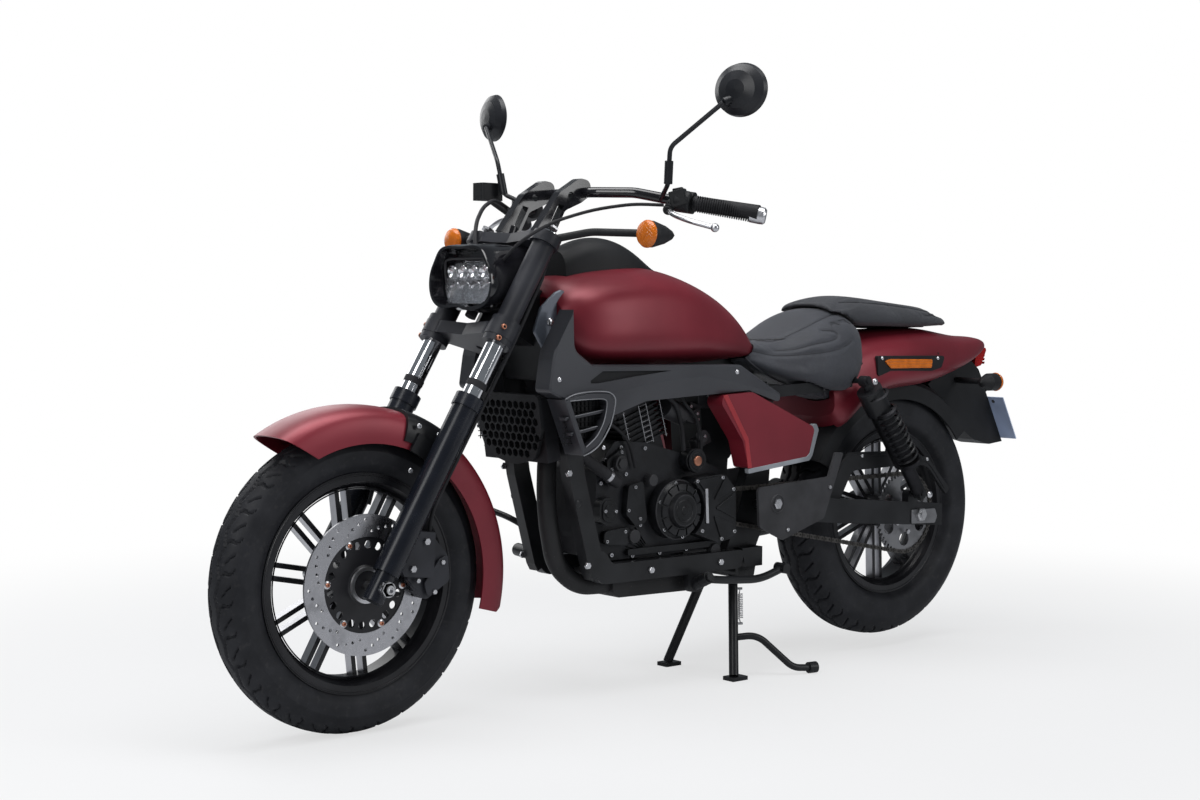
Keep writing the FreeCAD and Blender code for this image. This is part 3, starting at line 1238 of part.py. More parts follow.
def rear_lights(tail):
    end = -size("tail_reach")
    bracket = side_prism(on_chassis([(-150, 655), (-279, 541, 20), (end + 116, 507, 10), (end + 52, 492, 10),
                                     (end - 10, 498), (end + 52, 612), (end + 100, 690, 10), (-322, 712),
                                     (-200, 690)]), -46, 46)
    room = Part.makeCylinder(mudguard_radius() + 0.3, 180, REAR_AXLE - Vector(0, 90, 0), Vector(0, 1, 0))
    bracket = bracket.cut(tail).cut(room)
    bracket = sorted(bracket.Solids, key=lambda item: item.Volume)[-1]
    plate = doc.addObject("Part::Box", "number_plate")
    plate.Length = 3
    plate.setExpression("Width", "Sizes.plate_width")
    plate.setExpression("Height", "Sizes.plate_height")
    plate.Placement = Placement(Vector(0, 0, 508), Rotation(Vector(0, 1, 0), size("plate_lean")))
    plate.setExpression("Placement.Base.y", "-Sizes.plate_width / 2")
    behind = Part.makeBox(63, 300, 160, Vector(-60, -150, -20))
    behind.rotate(Vector(0, 0, 0), Vector(0, 1, 0), size("plate_lean"))
    behind.translate(Vector(DATUM + end, 0, 508))
    feature("plate_bracket", bracket.cut(behind))
    keep(plate, "number_plate", "Sizes.swing_reach - Sizes.pivot_at - Sizes.tail_reach")
    lamp = side_prism(on_chassis([(-340, 694), (-368, 700, 8), (-390, 744, 6), (-350, 752)]), -42, 42)
    feature("tail_lamp", lamp.cut(tail).cut(bracket))
    bulb = turned([(-34, 0), (-32, 16), (-20, 22), (6, 22), (30, 12), (36, 0)],
                  Vector(DATUM - 232, 176, 664), Vector(1, 0, 0))
    stalk = rod(Vector(DATUM - 262, 44, 664), Vector(DATUM - 236, 160, 664), 8).cut(bracket)
    feature("rear_signals", both_sides(bulb.fuse(stalk)))


def footrests():
    def peg(side):
        low, high = (RAIL_OUTER, RAIL_OUTER + 44) if side > 0 else (-RAIL_OUTER - 44, -RAIL_OUTER)
        arm = side_prism(on_chassis([(930, 262), (965, 262), (962, 300), (925, 296)]), low, high)
        start = Vector(DATUM + 944, side * (RAIL_OUTER + 40), 284)
        bar = rod(start, start + Vector(-14, side * 112, 4), 15)
        return arm.fuse(bar)

    pedal = tube([Vector(DATUM + 860, -RAIL_OUTER - 12, 276), Vector(DATUM + 900, -RAIL_OUTER - 30, 300),
                  Vector(DATUM + 1000, -RAIL_OUTER - 90, 372), Vector(DATUM + 1012, -RAIL_OUTER - 140, 384)], 7)
    pivot = Part.makeCylinder(12, 20, Vector(DATUM + 860, -RAIL_OUTER - 20, 276), Vector(0, 1, 0))
    right = peg(-1).multiFuse([pedal, pivot])
    feature("footrests", right)


def stands():
    pivot = Vector(DATUM + size("stand_pivot_at"), 0, size("stand_pivot_height"))
    radius = size("stand_tube_radius")
    cross = Part.makeCylinder(14, 2 * RAIL_INNER - 2, pivot - Vector(0, RAIL_INNER - 1, 0), Vector(0, 1, 0))
    pins = Part.makeCylinder(8, 2 * RAIL_INNER + 20, pivot - Vector(0, RAIL_INNER + 10, 0), Vector(0, 1, 0))
    foot_y = size("stand_foot_track") / 2
    ahead = size("stand_foot_ahead")
    parts = [pins]
    for side in (-1, 1):
        foot = Vector(pivot.x + ahead, side * foot_y, 8)
        parts.append(rod(pivot + Vector(0, side * 44, -4), foot + Vector(0, 0, 2), radius))
        parts.append(Part.makeBox(46, 34, 9, foot + Vector(-28, -17, -8)))
    knee = Vector(pivot.x + ahead * 0.62, foot_y * 0.78, 92)
    tang = tube([knee, knee + Vector(-50, 26, 4), Vector(pivot.x - 90, 154, 17), Vector(pivot.x - 128, 166, 14)], 8)
    toe = rod(Vector(pivot.x - 128, 166, 14), Vector(pivot.x - 150, 170, 14), 13)
    stand = cross.multiFuse(parts + [tang, toe])
    feature("centre_stand", stand.removeSplitter())
    hinge = SIDE_HINGE
    length = size("side_stand_length")
    leg = tube([hinge, hinge + Vector(-60, 0, -8), hinge + Vector(-170, 0, -16), hinge + Vector(-length, 0, 4)], 9)
    eye = rod(hinge - SIDE_AXIS * 13, hinge + SIDE_AXIS * 11, 14)
    bore = rod(hinge - SIDE_AXIS * 20, hinge + SIDE_AXIS * 20, 6.3)
    shoe = rod(hinge + Vector(-length + 4, -16, 4), hinge + Vector(-length + 4, 16, 4), 12)
    feature("side_stand", leg.multiFuse([eye, shoe]).cut(bore))


rear_wheel()
front_wheel()
steering()
front_fender()
brake_caliper()
headlight()
handlebar()
controls()
reservoir()
hoses()
frame()
engine()
chain()
cooling_and_exhaust()
mudguard_shape = rear_suspension()
bodywork(spine_shape(), subframe_shape(), mudguard_shape)
rear_lights(made("tail_fairing"))
footrests()
stands()

doc.recompute()
for item in doc.Objects:
    if "Invalid" in item.State or "Error" in item.State:
        raise RuntimeError(f"{item.Label} failed: {item.State}")
for item in SUBPARTS:
    if item.Shape.isNull() or not item.Shape.isValid():
        raise RuntimeError(f"{item.Label} has no valid shape")
os.makedirs("parts", exist_ok=True)
for item in SUBPARTS:
    item.Shape.exportStep(f"parts/{item.Label}.step")
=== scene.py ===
import math

import bmesh
import bpy
from mathutils import Euler, Matrix, Vector
from mathutils.bvhtree import BVHTree
from mathutils.kdtree import KDTree


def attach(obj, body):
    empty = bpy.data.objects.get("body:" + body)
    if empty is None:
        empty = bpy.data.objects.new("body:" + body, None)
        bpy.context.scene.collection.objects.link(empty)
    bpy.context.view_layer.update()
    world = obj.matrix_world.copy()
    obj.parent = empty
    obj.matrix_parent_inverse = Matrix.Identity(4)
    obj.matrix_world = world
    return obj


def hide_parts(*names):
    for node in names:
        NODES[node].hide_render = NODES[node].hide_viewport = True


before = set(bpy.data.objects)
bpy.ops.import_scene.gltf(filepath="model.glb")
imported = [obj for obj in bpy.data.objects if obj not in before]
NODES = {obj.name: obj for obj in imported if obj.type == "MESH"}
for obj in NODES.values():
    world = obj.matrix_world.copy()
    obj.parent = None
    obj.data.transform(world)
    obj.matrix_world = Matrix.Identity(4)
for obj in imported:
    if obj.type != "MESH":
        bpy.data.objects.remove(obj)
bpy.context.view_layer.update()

# Where the rear axle lies in the frame; outlines below are measured from it, in millimetres
REAR_AT = -0.705


def at(x, y, z):
    """A point measured from the rear axle in millimetres, as a place in the frame."""
    return Vector((x / 1000 + REAR_AT, y / 1000, z / 1000))


# Shader expressions
class Link:
    """A shader socket that can be used in sums, products and powers."""

    def __init__(self, shade, socket):
        self.shade = shade
        self.socket = socket

    def _math(self, operation, *values):
        return self.shade.node("ShaderNodeMath", {"operation": operation}, values)

    def __add__(self, other):
        return self._math("ADD", self, other)

    def __sub__(self, other):
        return self._math("SUBTRACT", self, other)

    def __rsub__(self, other):
        return self._math("SUBTRACT", other, self)

    def __mul__(self, other):
        return self._math("MULTIPLY", self, other)

    def __pow__(self, other):
        return self._math("POWER", self, other)

    __radd__ = __add__
    __rmul__ = __mul__

    def sine(self):
        return self._math("SINE", self)

    def step(self, low, high):
        """0 below low, 1 above high, smooth between."""
        return self.shade.node(
            "ShaderNodeMapRange", {"interpolation_type": "SMOOTHSTEP"}, [self, low, high, 0.0, 1.0])


class Shade:
    """A material on the Principled shader, built up by expressions."""

    def __init__(self, name, **plain):
        self.material = bpy.data.materials.new(name)
        self.material.use_nodes = True
        self.nodes = self.material.node_tree.nodes
        self.links = self.material.node_tree.links
        self.surface = self.nodes["Principled BSDF"]
        for socket, value in plain.items():
            self.surface.inputs[socket.replace("_", " ")].default_value = value
        self.spot = self.node("ShaderNodeTexCoord", out=3)

    def node(self, kind, settings=None, sockets=(), out=0):
        """Any node: its settings first, then the value or link of each socket."""
        made = self.nodes.new(kind)
        for key, value in (settings or {}).items():
            setattr(made, key, value)
        rows = sockets.items() if isinstance(sockets, dict) else enumerate(sockets)
        for key, value in rows:
            if isinstance(value, Link):
                self.links.new(value.socket, made.inputs[key])
            else:
                made.inputs[key].default_value = value
        return Link(self, made.outputs[out])

    def place(self, scale):
        """Object coordinates, stretched unless the scale is plain."""
        if scale == (1, 1, 1):
            return self.spot
        return self.node("ShaderNodeMapping", {}, {"Vector": self.spot, "Scale": scale})

    def split(self, vector):
        parts = self.node("ShaderNodeSeparateXYZ", {}, [vector])
        return [Link(self, socket) for socket in parts.socket.node.outputs]

    def noise(self, scale, detail, rough=0.55, where=None):
        return self.node("ShaderNodeTexNoise", {}, {"Vector": where or self.spot, "Scale": scale,
                                                    "Detail": detail, "Roughness": rough})

    def cells(self, scale, feature="F1"):
        return self.node("ShaderNodeTexVoronoi", {"feature": feature}, {"Vector": self.spot, "Scale": scale})

    def blend(self, mask, first, second):
        """Colour mixed from first to second by the mask."""
        pair = [value if isinstance(value, Link) else (*value, 1) for value in (first, second)]
        return self.node("ShaderNodeMix", {"data_type": "RGBA"}, {0: mask, 6: pair[0], 7: pair[1]}, 2)

    def feed(self, **sockets):
        for name, value in sockets.items():
            self.links.new(value.socket, self.surface.inputs[name.replace("_", " ")])

    def relief(self, height, depth):
        """Fine height that only bends the light; returns the finished material."""
        bump = self.node("ShaderNodeBump", {}, {"Distance": depth, "Height": height})
        self.links.new(bump.socket, self.surface.inputs["Normal"])
        return self.material


def toned(colour, factor, lift=0.0):
    """A colour made paler or deeper by a factor."""
    return tuple(min(1, c * factor + lift) for c in colour)


# Finishes
def coated(name, colour, rough, grain=900, depth=0.00004, wear=0.0, metal=0.0, coat=0.0):
    """Painted or powder-coated metal: fine texture, slightly uneven gloss, paler worn spots."""
    shade = Shade(name, Metallic=metal, Coat_Weight=coat, Coat_Roughness=0.12, Specular_IOR_Level=0.30)
    broad = shade.noise(9, 2)
    fine = shade.noise(grain, 2)
    tone = shade.blend(broad.step(0.35, 0.65), toned(colour, 0.82), toned(colour, 1.25, 0.004))
    if wear:
        tone = shade.blend(shade.noise(140, 4).step(0.66, 0.74) * wear, tone, (0.16, 0.15, 0.14))
    shade.feed(Base_Color=tone, Roughness=rough + (broad - 0.5) * 0.12 + (fine - 0.5) * 0.06)
    return shade.relief(fine, depth)


def satin_paint(name, colour, deep, rough=0.42, flake=0.25):
    """Matte lacquer with a fine metallic flake under a dull coat."""
    shade = Shade(name, Metallic=0.35, Coat_Weight=0.22, Coat_Roughness=0.36, Specular_IOR_Level=0.42)
    specks = shade.cells(5200).step(0.15, 0.55)
    broad = shade.noise(5, 2).step(0.3, 0.7)
    tone = shade.blend(broad * 0.6 + specks * flake, deep, colour)
    shade.feed(Base_Color=tone, Roughness=rough + (shade.noise(60, 3) - 0.5) * 0.07)
    return shade.relief(shade.noise(2600, 1), 0.000012)


def moulded(name, colour, rough=0.55):
    """Moulded plastic with a leather-like spark-eroded grain."""
    shade = Shade(name, Specular_IOR_Level=0.26)
    grain = shade.cells(1500, "SMOOTH_F1")
    broad = shade.noise(14, 3)
    tone = shade.blend(broad.step(0.3, 0.7), toned(colour, 0.8), toned(colour, 1.3))
    shade.feed(Base_Color=tone, Roughness=rough + (broad - 0.5) * 0.15)
    return shade.relief(grain, 0.00006)


def casting(name, colour, rough=0.5, depth=0.00012):
    """Painted die casting: pebbled skin and dull hollows."""
    shade = Shade(name, Metallic=0.2, Specular_IOR_Level=0.32)
    pebble = shade.cells(620, "SMOOTH_F1")
    broad = shade.noise(22, 4)
    tone = shade.blend(broad.step(0.3, 0.75), toned(colour, 0.7), toned(colour, 1.5))
    shade.feed(Base_Color=tone, Roughness=rough + (broad - 0.5) * 0.25)
    return shade.relief(pebble + shade.noise(1800, 2) * 0.5, depth)


def metal(name, colour, rough, brushed=(1, 1, 1), scale=300, depth=0.00002, dull=0.1):
    """Bare or plated metal; brushed stretches its scratches along one way."""
    shade = Shade(name, Metallic=1.0)
    lines = shade.noise(scale, 5, 0.7, shade.place(brushed))
    stain = shade.noise(25, 4)
    tone = shade.blend(stain.step(0.45, 0.8), colour, toned(colour, 0.72))
    shade.feed(Base_Color=tone, Roughness=rough + (lines - 0.5) * dull * 2 + stain * 0.05)
    return shade.relief(lines, depth)


def hide(name, colour, rough=0.48):
    """Grained vinyl cover, with painted shade in the hollows of the grain."""
    shade = Shade(name, Specular_IOR_Level=0.38, Sheen_Weight=0.12, Sheen_Roughness=0.5)
    pebble = shade.cells(520, "DISTANCE_TO_EDGE").step(0.0, 0.22)
    fine = shade.noise(1600, 3)
    broad = shade.noise(12, 3)
    crease = pebble * 0.8 + fine * 0.3
    tone = shade.blend(broad.step(0.3, 0.7), toned(colour, 0.85), toned(colour, 1.18))
    # Painted shade: the hollows between the grain's pebbles are darkened.
    tone = shade.blend((1 - pebble) * 0.45, tone, toned(colour, 0.45))
    shade.feed(Base_Color=tone, Roughness=rough + (1 - pebble) * 0.14 + (broad - 0.5) * 0.08)
    return shade.relief(crease, 0.00022)


def rubbery(name, colour, rough, dust=0.12):
    """Matte rubber with a little dust in it."""
    shade = Shade(name, Specular_IOR_Level=0.25)
    broad = shade.noise(18, 5)
    fine = shade.noise(900, 3)
    tone = shade.blend(broad.step(0.3, 0.75), colour, toned(colour, 1.5, 0.006))
    tone = shade.blend(shade.noise(70, 4).step(0.55, 0.75) * dust, tone, (0.10, 0.095, 0.09))
    shade.feed(Base_Color=tone, Roughness=rough + (broad - 0.5) * 0.16)
    return shade.relief(fine, 0.00005)


def lens(name, colour, through, alpha=1.0):
    """Clear or coloured lamp plastic with fine prisms."""
    shade = Shade(name, IOR=1.49, Transmission_Weight=through, Alpha=alpha)
    _, y, z = shade.split(shade.spot)
    prism = (y * 900).sine() * (z * 900).sine()
    shade.feed(Base_Color=shade.blend(shade.noise(60, 2).step(0.3, 0.7), colour, toned(colour, 0.8)),
               Roughness=0.08 + shade.noise(40, 2) * 0.05)
    return shade.relief(prism, 0.0003)


FINISH = {
    "red": satin_paint("matte_red_lacquer", (0.225, 0.016, 0.030), (0.145, 0.008, 0.017)),
    # A brighter red for the side covers' ridge: a painted highlight.
    "copper_red": satin_paint("bright_red_edge", (0.42, 0.040, 0.050), (0.30, 0.022, 0.030), 0.36),
    "grey": satin_paint("gunmetal_lacquer", (0.050, 0.052, 0.060), (0.030, 0.031, 0.037), 0.40, 0.2),
    "bluegrey": satin_paint("blue_grey_lacquer", (0.150, 0.170, 0.205), (0.105, 0.120, 0.150), 0.38, 0.2),
    # Pale lacquer for lines of painted highlight along the shroud's edges.
    "edge": coated("pale_edge_lacquer", (0.20, 0.205, 0.22), 0.34, 600),
    # Pale metal: a painted highlight on the spoke flanks, and bright metal for the fin edges and hose bands.
    "spoke": metal("machined_spoke_flank", (0.46, 0.46, 0.48), 0.30, scale=500),
    "shell": coated("mirror_shell_black", (0.012, 0.013, 0.016), 0.34, 900),
    "frame": coated("frame_powder_black", (0.008, 0.0085, 0.010), 0.36),
    "gloss": coated("gloss_black_lacquer", (0.006, 0.006, 0.008), 0.10, 400, 0.000006, coat=0.6),
    "yoke": coated("yoke_dark_grey", (0.018, 0.019, 0.024), 0.42, 1200),
    "slider": coated("slider_blue_black", (0.0075, 0.009, 0.014), 0.27, 500, 0.00001),
    "rim": coated("rim_satin_black", (0.010, 0.010, 0.012), 0.30, 900),
    "engine": casting("engine_black_casting", (0.012, 0.0125, 0.015)),
    "cover": casting("engine_cover_black", (0.009, 0.0095, 0.011), 0.36, 0.00005),
    "plastic": moulded("moulded_black", (0.009, 0.0095, 0.011)),
    "trim": moulded("dark_trim", (0.030, 0.030, 0.033), 0.5),
    "exhaust": coated("heatproof_black", (0.011, 0.011, 0.012), 0.55, 700, 0.00008, wear=0.3),
    "chrome": metal("hard_chrome", (0.86, 0.86, 0.88), 0.05, (1, 1, 0.05), 200, 0.000004, 0.02),
    "steel": metal("zinc_steel", (0.55, 0.55, 0.56), 0.28),
    "bolt": metal("bright_bolt", (0.58, 0.58, 0.60), 0.24, scale=900),
    "copper": metal("coppery_bolt", (0.45, 0.20, 0.13), 0.30, scale=900),
    "disc": metal("ground_disc", (0.40, 0.40, 0.42), 0.26, scale=60, dull=0.2),
    "alloy": metal("cast_lever_alloy", (0.60, 0.60, 0.62), 0.30),
    "polished": metal("machined_edge", (0.74, 0.74, 0.77), 0.14, scale=500),
    "sprocket": metal("sprocket_grey_steel", (0.26, 0.26, 0.27), 0.38),
    "chain": metal("oiled_chain", (0.10, 0.095, 0.09), 0.42, dull=0.25),
    "radiator": metal("black_radiator_alloy", (0.030, 0.030, 0.033), 0.5),
    "tyre": rubbery("tyre_rubber", (0.009, 0.0095, 0.012), 0.58),
    "grip": rubbery("grip_rubber", (0.012, 0.012, 0.014), 0.66, 0.04),
    # The rider seat and the pillion are one vinyl in two tones: painted light on the rider seat and painted shade
    # on the pillion, for how light falls on each.
    "seat": hide("rider_vinyl", (0.033, 0.036, 0.046)),
    "pillion": hide("pillion_vinyl", (0.026, 0.028, 0.035), 0.50),
    "plate": coated("blank_plate", (0.33, 0.40, 0.56), 0.35, 500, 0.00001),
    "amber": lens("amber_lens", (0.90, 0.22, 0.015), 0.3),
    "red_lens": lens("red_lens", (0.50, 0.01, 0.01), 0.3),
    "glass": lens("clear_lens", (0.92, 0.94, 0.96), 0.95, 0.4),
    "silver": coated("silver_grey_lacquer", (0.26, 0.275, 0.30), 0.32, 700, metal=0.3),
    "mirror": metal("mirror_glass", (0.85, 0.87, 0.9), 0.02, scale=30, depth=0.0, dull=0.0),
}

NODES_BY_FINISH = {
    "frame": "frame_spine cradle_rails rear_subframe swingarm rear_shocks footrests fender_stay "
             "headlight_bracket centre_stand side_stand",
    "plastic": "airbox chain_guard rear_mudguard tank_console radiator_guard plate_bracket rear_signals "
               "front_signals switchgear brake_reservoir",
    "steel": "rear_axle front_axle", "engine": "crankcase cylinder", "cover": "engine_covers",
    "red": "fuel_tank tail_fairing side_covers front_fender", "grey": "shrouds", "bluegrey": "head_plates",
    "chain": "drive_chain", "sprocket": "rear_sprocket", "trim": "pivot_covers", "radiator": "radiator",
    "exhaust": "exhaust_pipe exhaust_chamber silencer", "plate": "number_plate", "red_lens": "tail_lamp",
    "seat": "rider_seat", "pillion": "pillion_seat", "yoke": "fork_yokes fork_covers brake_caliper",
    "chrome": "fork_tubes", "slider": "fork_sliders", "gloss": "headlight_hood risers handlebar",
    "glass": "headlight_lens", "grip": "grips control_cables", "alloy": "levers", "shell": "mirrors",
    "rim": "front_rim rear_rim", "tyre": "front_tyre rear_tyre", "disc": "front_disc",
}


def painted(mesh, *finishes):
    """The mesh with nothing but these finishes on it."""
    mesh.materials.clear()
    for finish in finishes:
        mesh.materials.append(FINISH[finish])
    return mesh


for finish_name, node_names in NODES_BY_FINISH.items():
    for node_name in node_names.split():
        painted(NODES[node_name].data, finish_name)


# Making pieces
def linked(name, data):
    """A new object, put into the scene."""
    thing = bpy.data.objects.new(name, data)
    bpy.context.collection.objects.link(thing)
    return thing


def evaluated(thing):
    """The plain mesh that an object's modifiers make."""
    graph = bpy.context.evaluated_depsgraph_get()
    return bpy.data.meshes.new_from_object(thing.evaluated_get(graph))


def piece(name, body, mesh, finish, *stands_for, slot=None, bevel=None, smooth=30, levels=0):
    """A finished piece on its body, in place of the nodes that it stands for."""
    if isinstance(mesh, bmesh.types.BMesh):
        built = bpy.data.meshes.new(name)
        bmesh.ops.remove_doubles(mesh, verts=mesh.verts, dist=1e-6)
        bmesh.ops.recalc_face_normals(mesh, faces=mesh.faces)
        mesh.to_mesh(built)
        mesh.free()
        mesh = built
    thing = linked(name, mesh)
    mesh.name = name
    if not mesh.materials:
        mesh.materials.append(FINISH[finish])
    mesh.polygons.foreach_set("use_smooth", [True] * len(mesh.polygons))
    mesh.set_sharp_from_angle(angle=math.radians(smooth))
    if bevel:
        cut = thing.modifiers.new("edges", "BEVEL")
        cut.width = bevel / 1000
        cut.segments = 2
        cut.limit_method = "ANGLE"
        cut.angle_limit = math.radians(35)
        cut.harden_normals = True
    if levels:
        soft = thing.modifiers.new("smooth", "SUBSURF")
        soft.levels = soft.render_levels = levels
    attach(thing, body)
    if stands_for:
        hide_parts(*stands_for)
    return thing


def both(shape):
    """The left half's mesh with its mirror image on the right."""
    other = shape.copy()
    bmesh.ops.scale(other, vec=(1, -1, 1), verts=other.verts)
    bmesh.ops.reverse_faces(other, faces=other.faces)
    return joined([shape, other])


def joined(shapes):
    """One shape from several, which are used up."""
    whole = bmesh.new()
    for shape in shapes:
        scrap = bpy.data.meshes.new("scrap")
        shape.to_mesh(scrap)
        whole.from_mesh(scrap)
        bpy.data.meshes.remove(scrap)
        shape.free()
    return whole


def frame_of(run):
    """Two unit vectors square to a direction."""
    run = Vector(run).normalized()
    across = run.cross(Vector((0, 0, 1)) if abs(run.z) < 0.9 else Vector((1, 0, 0))).normalized()
    return across, run.cross(across)


def circle(across, third, steps):
    """Unit vectors all round the plane of two others."""
    turns = [2 * math.pi * step / steps for step in range(steps)]
    return [across * math.cos(turn) + third * math.sin(turn) for turn in turns]


def helix(start, end, radius, turns, per_turn):
    """Points along a coil about the line from start to end."""
    across, third = frame_of(end - start)
    steps = turns * per_turn
    points = []
    for step in range(steps + 1):
        turn = 2 * math.pi * step / per_turn
        around_line = (across * math.cos(turn) + third * math.sin(turn)) * radius / 1000
        points.append(start.lerp(end, step / steps) + around_line)
    return points


def turned(profile, centre, axis=(0, 1, 0), steps=64, closed=True):
    """A turned shape: (along, radius) points in millimetres about an axis through centre."""
    axis = Vector(axis).normalized()
    across, third = frame_of(axis)
    shape = bmesh.new()
    rings = []
    for along, radius in profile:
        if radius < 1e-6:
            rings.append([shape.verts.new(centre + axis * along / 1000)])
            continue
        rings.append([shape.verts.new(centre + axis * along / 1000 + spoke * radius / 1000)
                      for spoke in circle(across, third, steps)])
    pairs = list(zip(rings, rings[1:]))
    if closed and len(rings[0]) > 1 and len(rings[-1]) > 1:
        pairs.append((rings[-1], rings[0]))
    for first, second in pairs:
        for step in range(steps):
            nxt = (step + 1) % steps
            if len(first) == 1 and len(second) == 1:
                continue
            if len(first) == 1:
                shape.faces.new((first[0], second[step], second[nxt]))
            elif len(second) == 1:
                shape.faces.new((first[step], second[0], first[nxt]))
            else:
                shape.faces.new((first[step], second[step], second[nxt], first[nxt]))
    bmesh.ops.recalc_face_normals(shape, faces=shape.faces)
    return shape


def rod(start, end, radius, steps):
    """A round bar with closed ends."""
    run = end - start
    length = run.length * 1000
    return turned([(0, 0), (0, radius), (length, radius), (length, 0)], start, run, steps, False)


def rounded(points):
    """An outline whose corners with a radius become arcs of a few points."""
    pieces = 6
    line = []
    count = len(points)
    for index, point in enumerate(points):
        here = Vector(point[:2])
        if len(point) < 3:
            line.append(here)
            continue
        back = Vector(points[index - 1][:2]) - here
        onward = Vector(points[(index + 1) % count][:2]) - here
        shorter = min(back.length, onward.length)
        back.normalize()
        onward.normalize()
        half = max(0.02, back.angle(onward) / 2)
        reach = min(point[2] / math.tan(half), 0.48 * shorter)
        first, last = here + back * reach, here + onward * reach
        for step in range(pieces + 1):
            share = step / pieces
            line.append(first.lerp(here, share).lerp(here.lerp(last, share), share))
    return line


def slab(points, low, high, dome=0.0, inset=0.0):
    """A plate with a side outline (x, z from the rear axle), from y = low to y = high."""
    shape = bmesh.new()
    line = rounded(points)
    first = [shape.verts.new(at(p.x, low, p.y)) for p in line]
    second = [shape.verts.new(at(p.x, high, p.y)) for p in line]
    shape.faces.new(first)
    cap = shape.faces.new(second[::-1])
    for index in range(len(line)):
        nxt = (index + 1) % len(line)
        shape.faces.new((first[index], first[nxt], second[nxt], second[index]))
    if inset:
        bmesh.ops.inset_region(shape, faces=[cap], thickness=inset / 1000, depth=0)
        for vert in cap.verts:
            vert.co.y += dome / 1000
    bmesh.ops.recalc_face_normals(shape, faces=shape.faces)
    return shape


def lengths_along(line):
    """How far along a line each of its points lies."""
    reach = [0.0]
    for first, second in zip(line, line[1:]):
        reach.append(reach[-1] + (second - first).length)
    return reach


def eased(share):
    """A share from 0 to 1, smoothed at both ends."""
    return share * share * (3 - 2 * share)


def smooth_line(points, count):
    """Points evenly spread along a smooth curve through the given ones."""
    spots = [Vector(p) for p in points]
    spots = [2 * spots[0] - spots[1]] + spots + [2 * spots[-1] - spots[-2]]
    dense = []
    for index in range(1, len(spots) - 2):
        a, b, c, d = spots[index - 1:index + 3]
        for step in range(24):
            t = step / 24
            dense.append(0.5 * ((2 * b) + (c - a) * t + (2 * a - 5 * b + 4 * c - d) * t * t
                                + (3 * b - a - 3 * c + d) * t * t * t))
    dense.append(spots[-2])
    reach = lengths_along(dense)
    line = []
    index = 0
    for step in range(count):
        want = reach[-1] * step / (count - 1)
        while index < len(dense) - 2 and reach[index + 1] < want:
            index += 1
        share = (want - reach[index]) / max(1e-9, reach[index + 1] - reach[index])
        line.append(dense[index].lerp(dense[index + 1], min(1, max(0, share))))
    return line


def skin(rows, caps=True):
    """A surface through rows of points; each row goes once round the shape."""
    shape = bmesh.new()
    grid = [[shape.verts.new(spot) for spot in row] for row in rows]
    for first, second in zip(grid, grid[1:]):
        for index in range(len(first)):
            nxt = (index + 1) % len(first)
            shape.faces.new((first[index], first[nxt], second[nxt], second[index]))
    if caps:
        shape.faces.new(grid[0][::-1])
        shape.faces.new(grid[-1])
    bmesh.ops.recalc_face_normals(shape, faces=shape.faces)
    return shape


def pipe(points, radius, steps, count=None):
    """A round tube along a smooth line, with closed ends; radius may be a list along it."""
    line = smooth_line(points, count) if count else [Vector(p) for p in points]
    girths = [radius] * len(line)
    if isinstance(radius, list):
        girths = [p.x for p in smooth_line([(r, 0, 0) for r in radius], len(line))]
    rows = []
    across = None
    for index, here in enumerate(line):
        ahead = line[min(index + 1, len(line) - 1)] - line[max(index - 1, 0)]
        ahead.normalize()
        if across is None:
            across, _ = frame_of(ahead)
        across = (across - ahead * across.dot(ahead)).normalized()
        rows.append([here + spoke * girths[index] / 1000
                     for spoke in circle(across, ahead.cross(across), steps)])
    return skin(rows)


def block(centre, size, turn=(0, 0, 0)):
    """A box of a size in millimetres, turned about its centre in degrees."""
    shape = bmesh.new()
    bmesh.ops.create_cube(shape, size=1)
    bmesh.ops.scale(shape, vec=[s / 1000 for s in size], verts=shape.verts)
    spin = Euler([math.radians(angle) for angle in turn]).to_matrix()
    bmesh.ops.rotate(shape, cent=(0, 0, 0), matrix=spin, verts=shape.verts)
    bmesh.ops.translate(shape, vec=centre, verts=shape.verts)
    return shape


# Repeats made by node trees
class Tree:
    """A node tree for a repeat, with named inputs, that ends realized and painted."""

    def __init__(self, name, inputs):
        self.group = bpy.data.node_groups.new(name, "GeometryNodeTree")
        self.group.interface.new_socket("Geometry", in_out="INPUT", socket_type="NodeSocketGeometry")
        self.group.interface.new_socket("Geometry", in_out="OUTPUT", socket_type="NodeSocketGeometry")
        for label, kind in inputs.items():
            self.group.interface.new_socket(label, in_out="INPUT", socket_type="NodeSocket" + kind)
        self.entry = self.group.nodes.new("NodeGroupInput")

    def add(self, kind, settings=None, **sockets):
        made = self.group.nodes.new(kind)
        for key, value in (settings or {}).items():
            setattr(made, key, value)
        for key, value in sockets.items():
            spot = made.inputs[key.replace("_", " ")]
            if isinstance(value, bpy.types.NodeSocket):
                self.group.links.new(value, spot)
            else:
                spot.default_value = value
        return made

    def put(self, label):
        return self.entry.outputs[label]

    def end(self, geometry, finish):
        real = self.add("GeometryNodeRealizeInstances", Geometry=geometry)
        paint = self.add("GeometryNodeSetMaterial", Geometry=real.outputs[0], Material=finish)
        leave = self.group.nodes.new("NodeGroupOutput")
        self.group.links.new(paint.outputs[0], leave.inputs[0])
        return self.group


def grown(base, group, **values):
    """The plain mesh that a node tree makes from a base mesh."""
    holder = linked("holder", base)
    maker = holder.modifiers.new("maker", "NODES")
    maker.node_group = group
    for item in group.interface.items_tree:
        if item.in_out == "INPUT" and item.name.replace(" ", "_") in values:
            maker[item.identifier] = values[item.name.replace(" ", "_")]
    holder.update_tag()
    bpy.context.view_layer.update()
    mesh = evaluated(holder)
    bpy.data.objects.remove(holder)
    return mesh


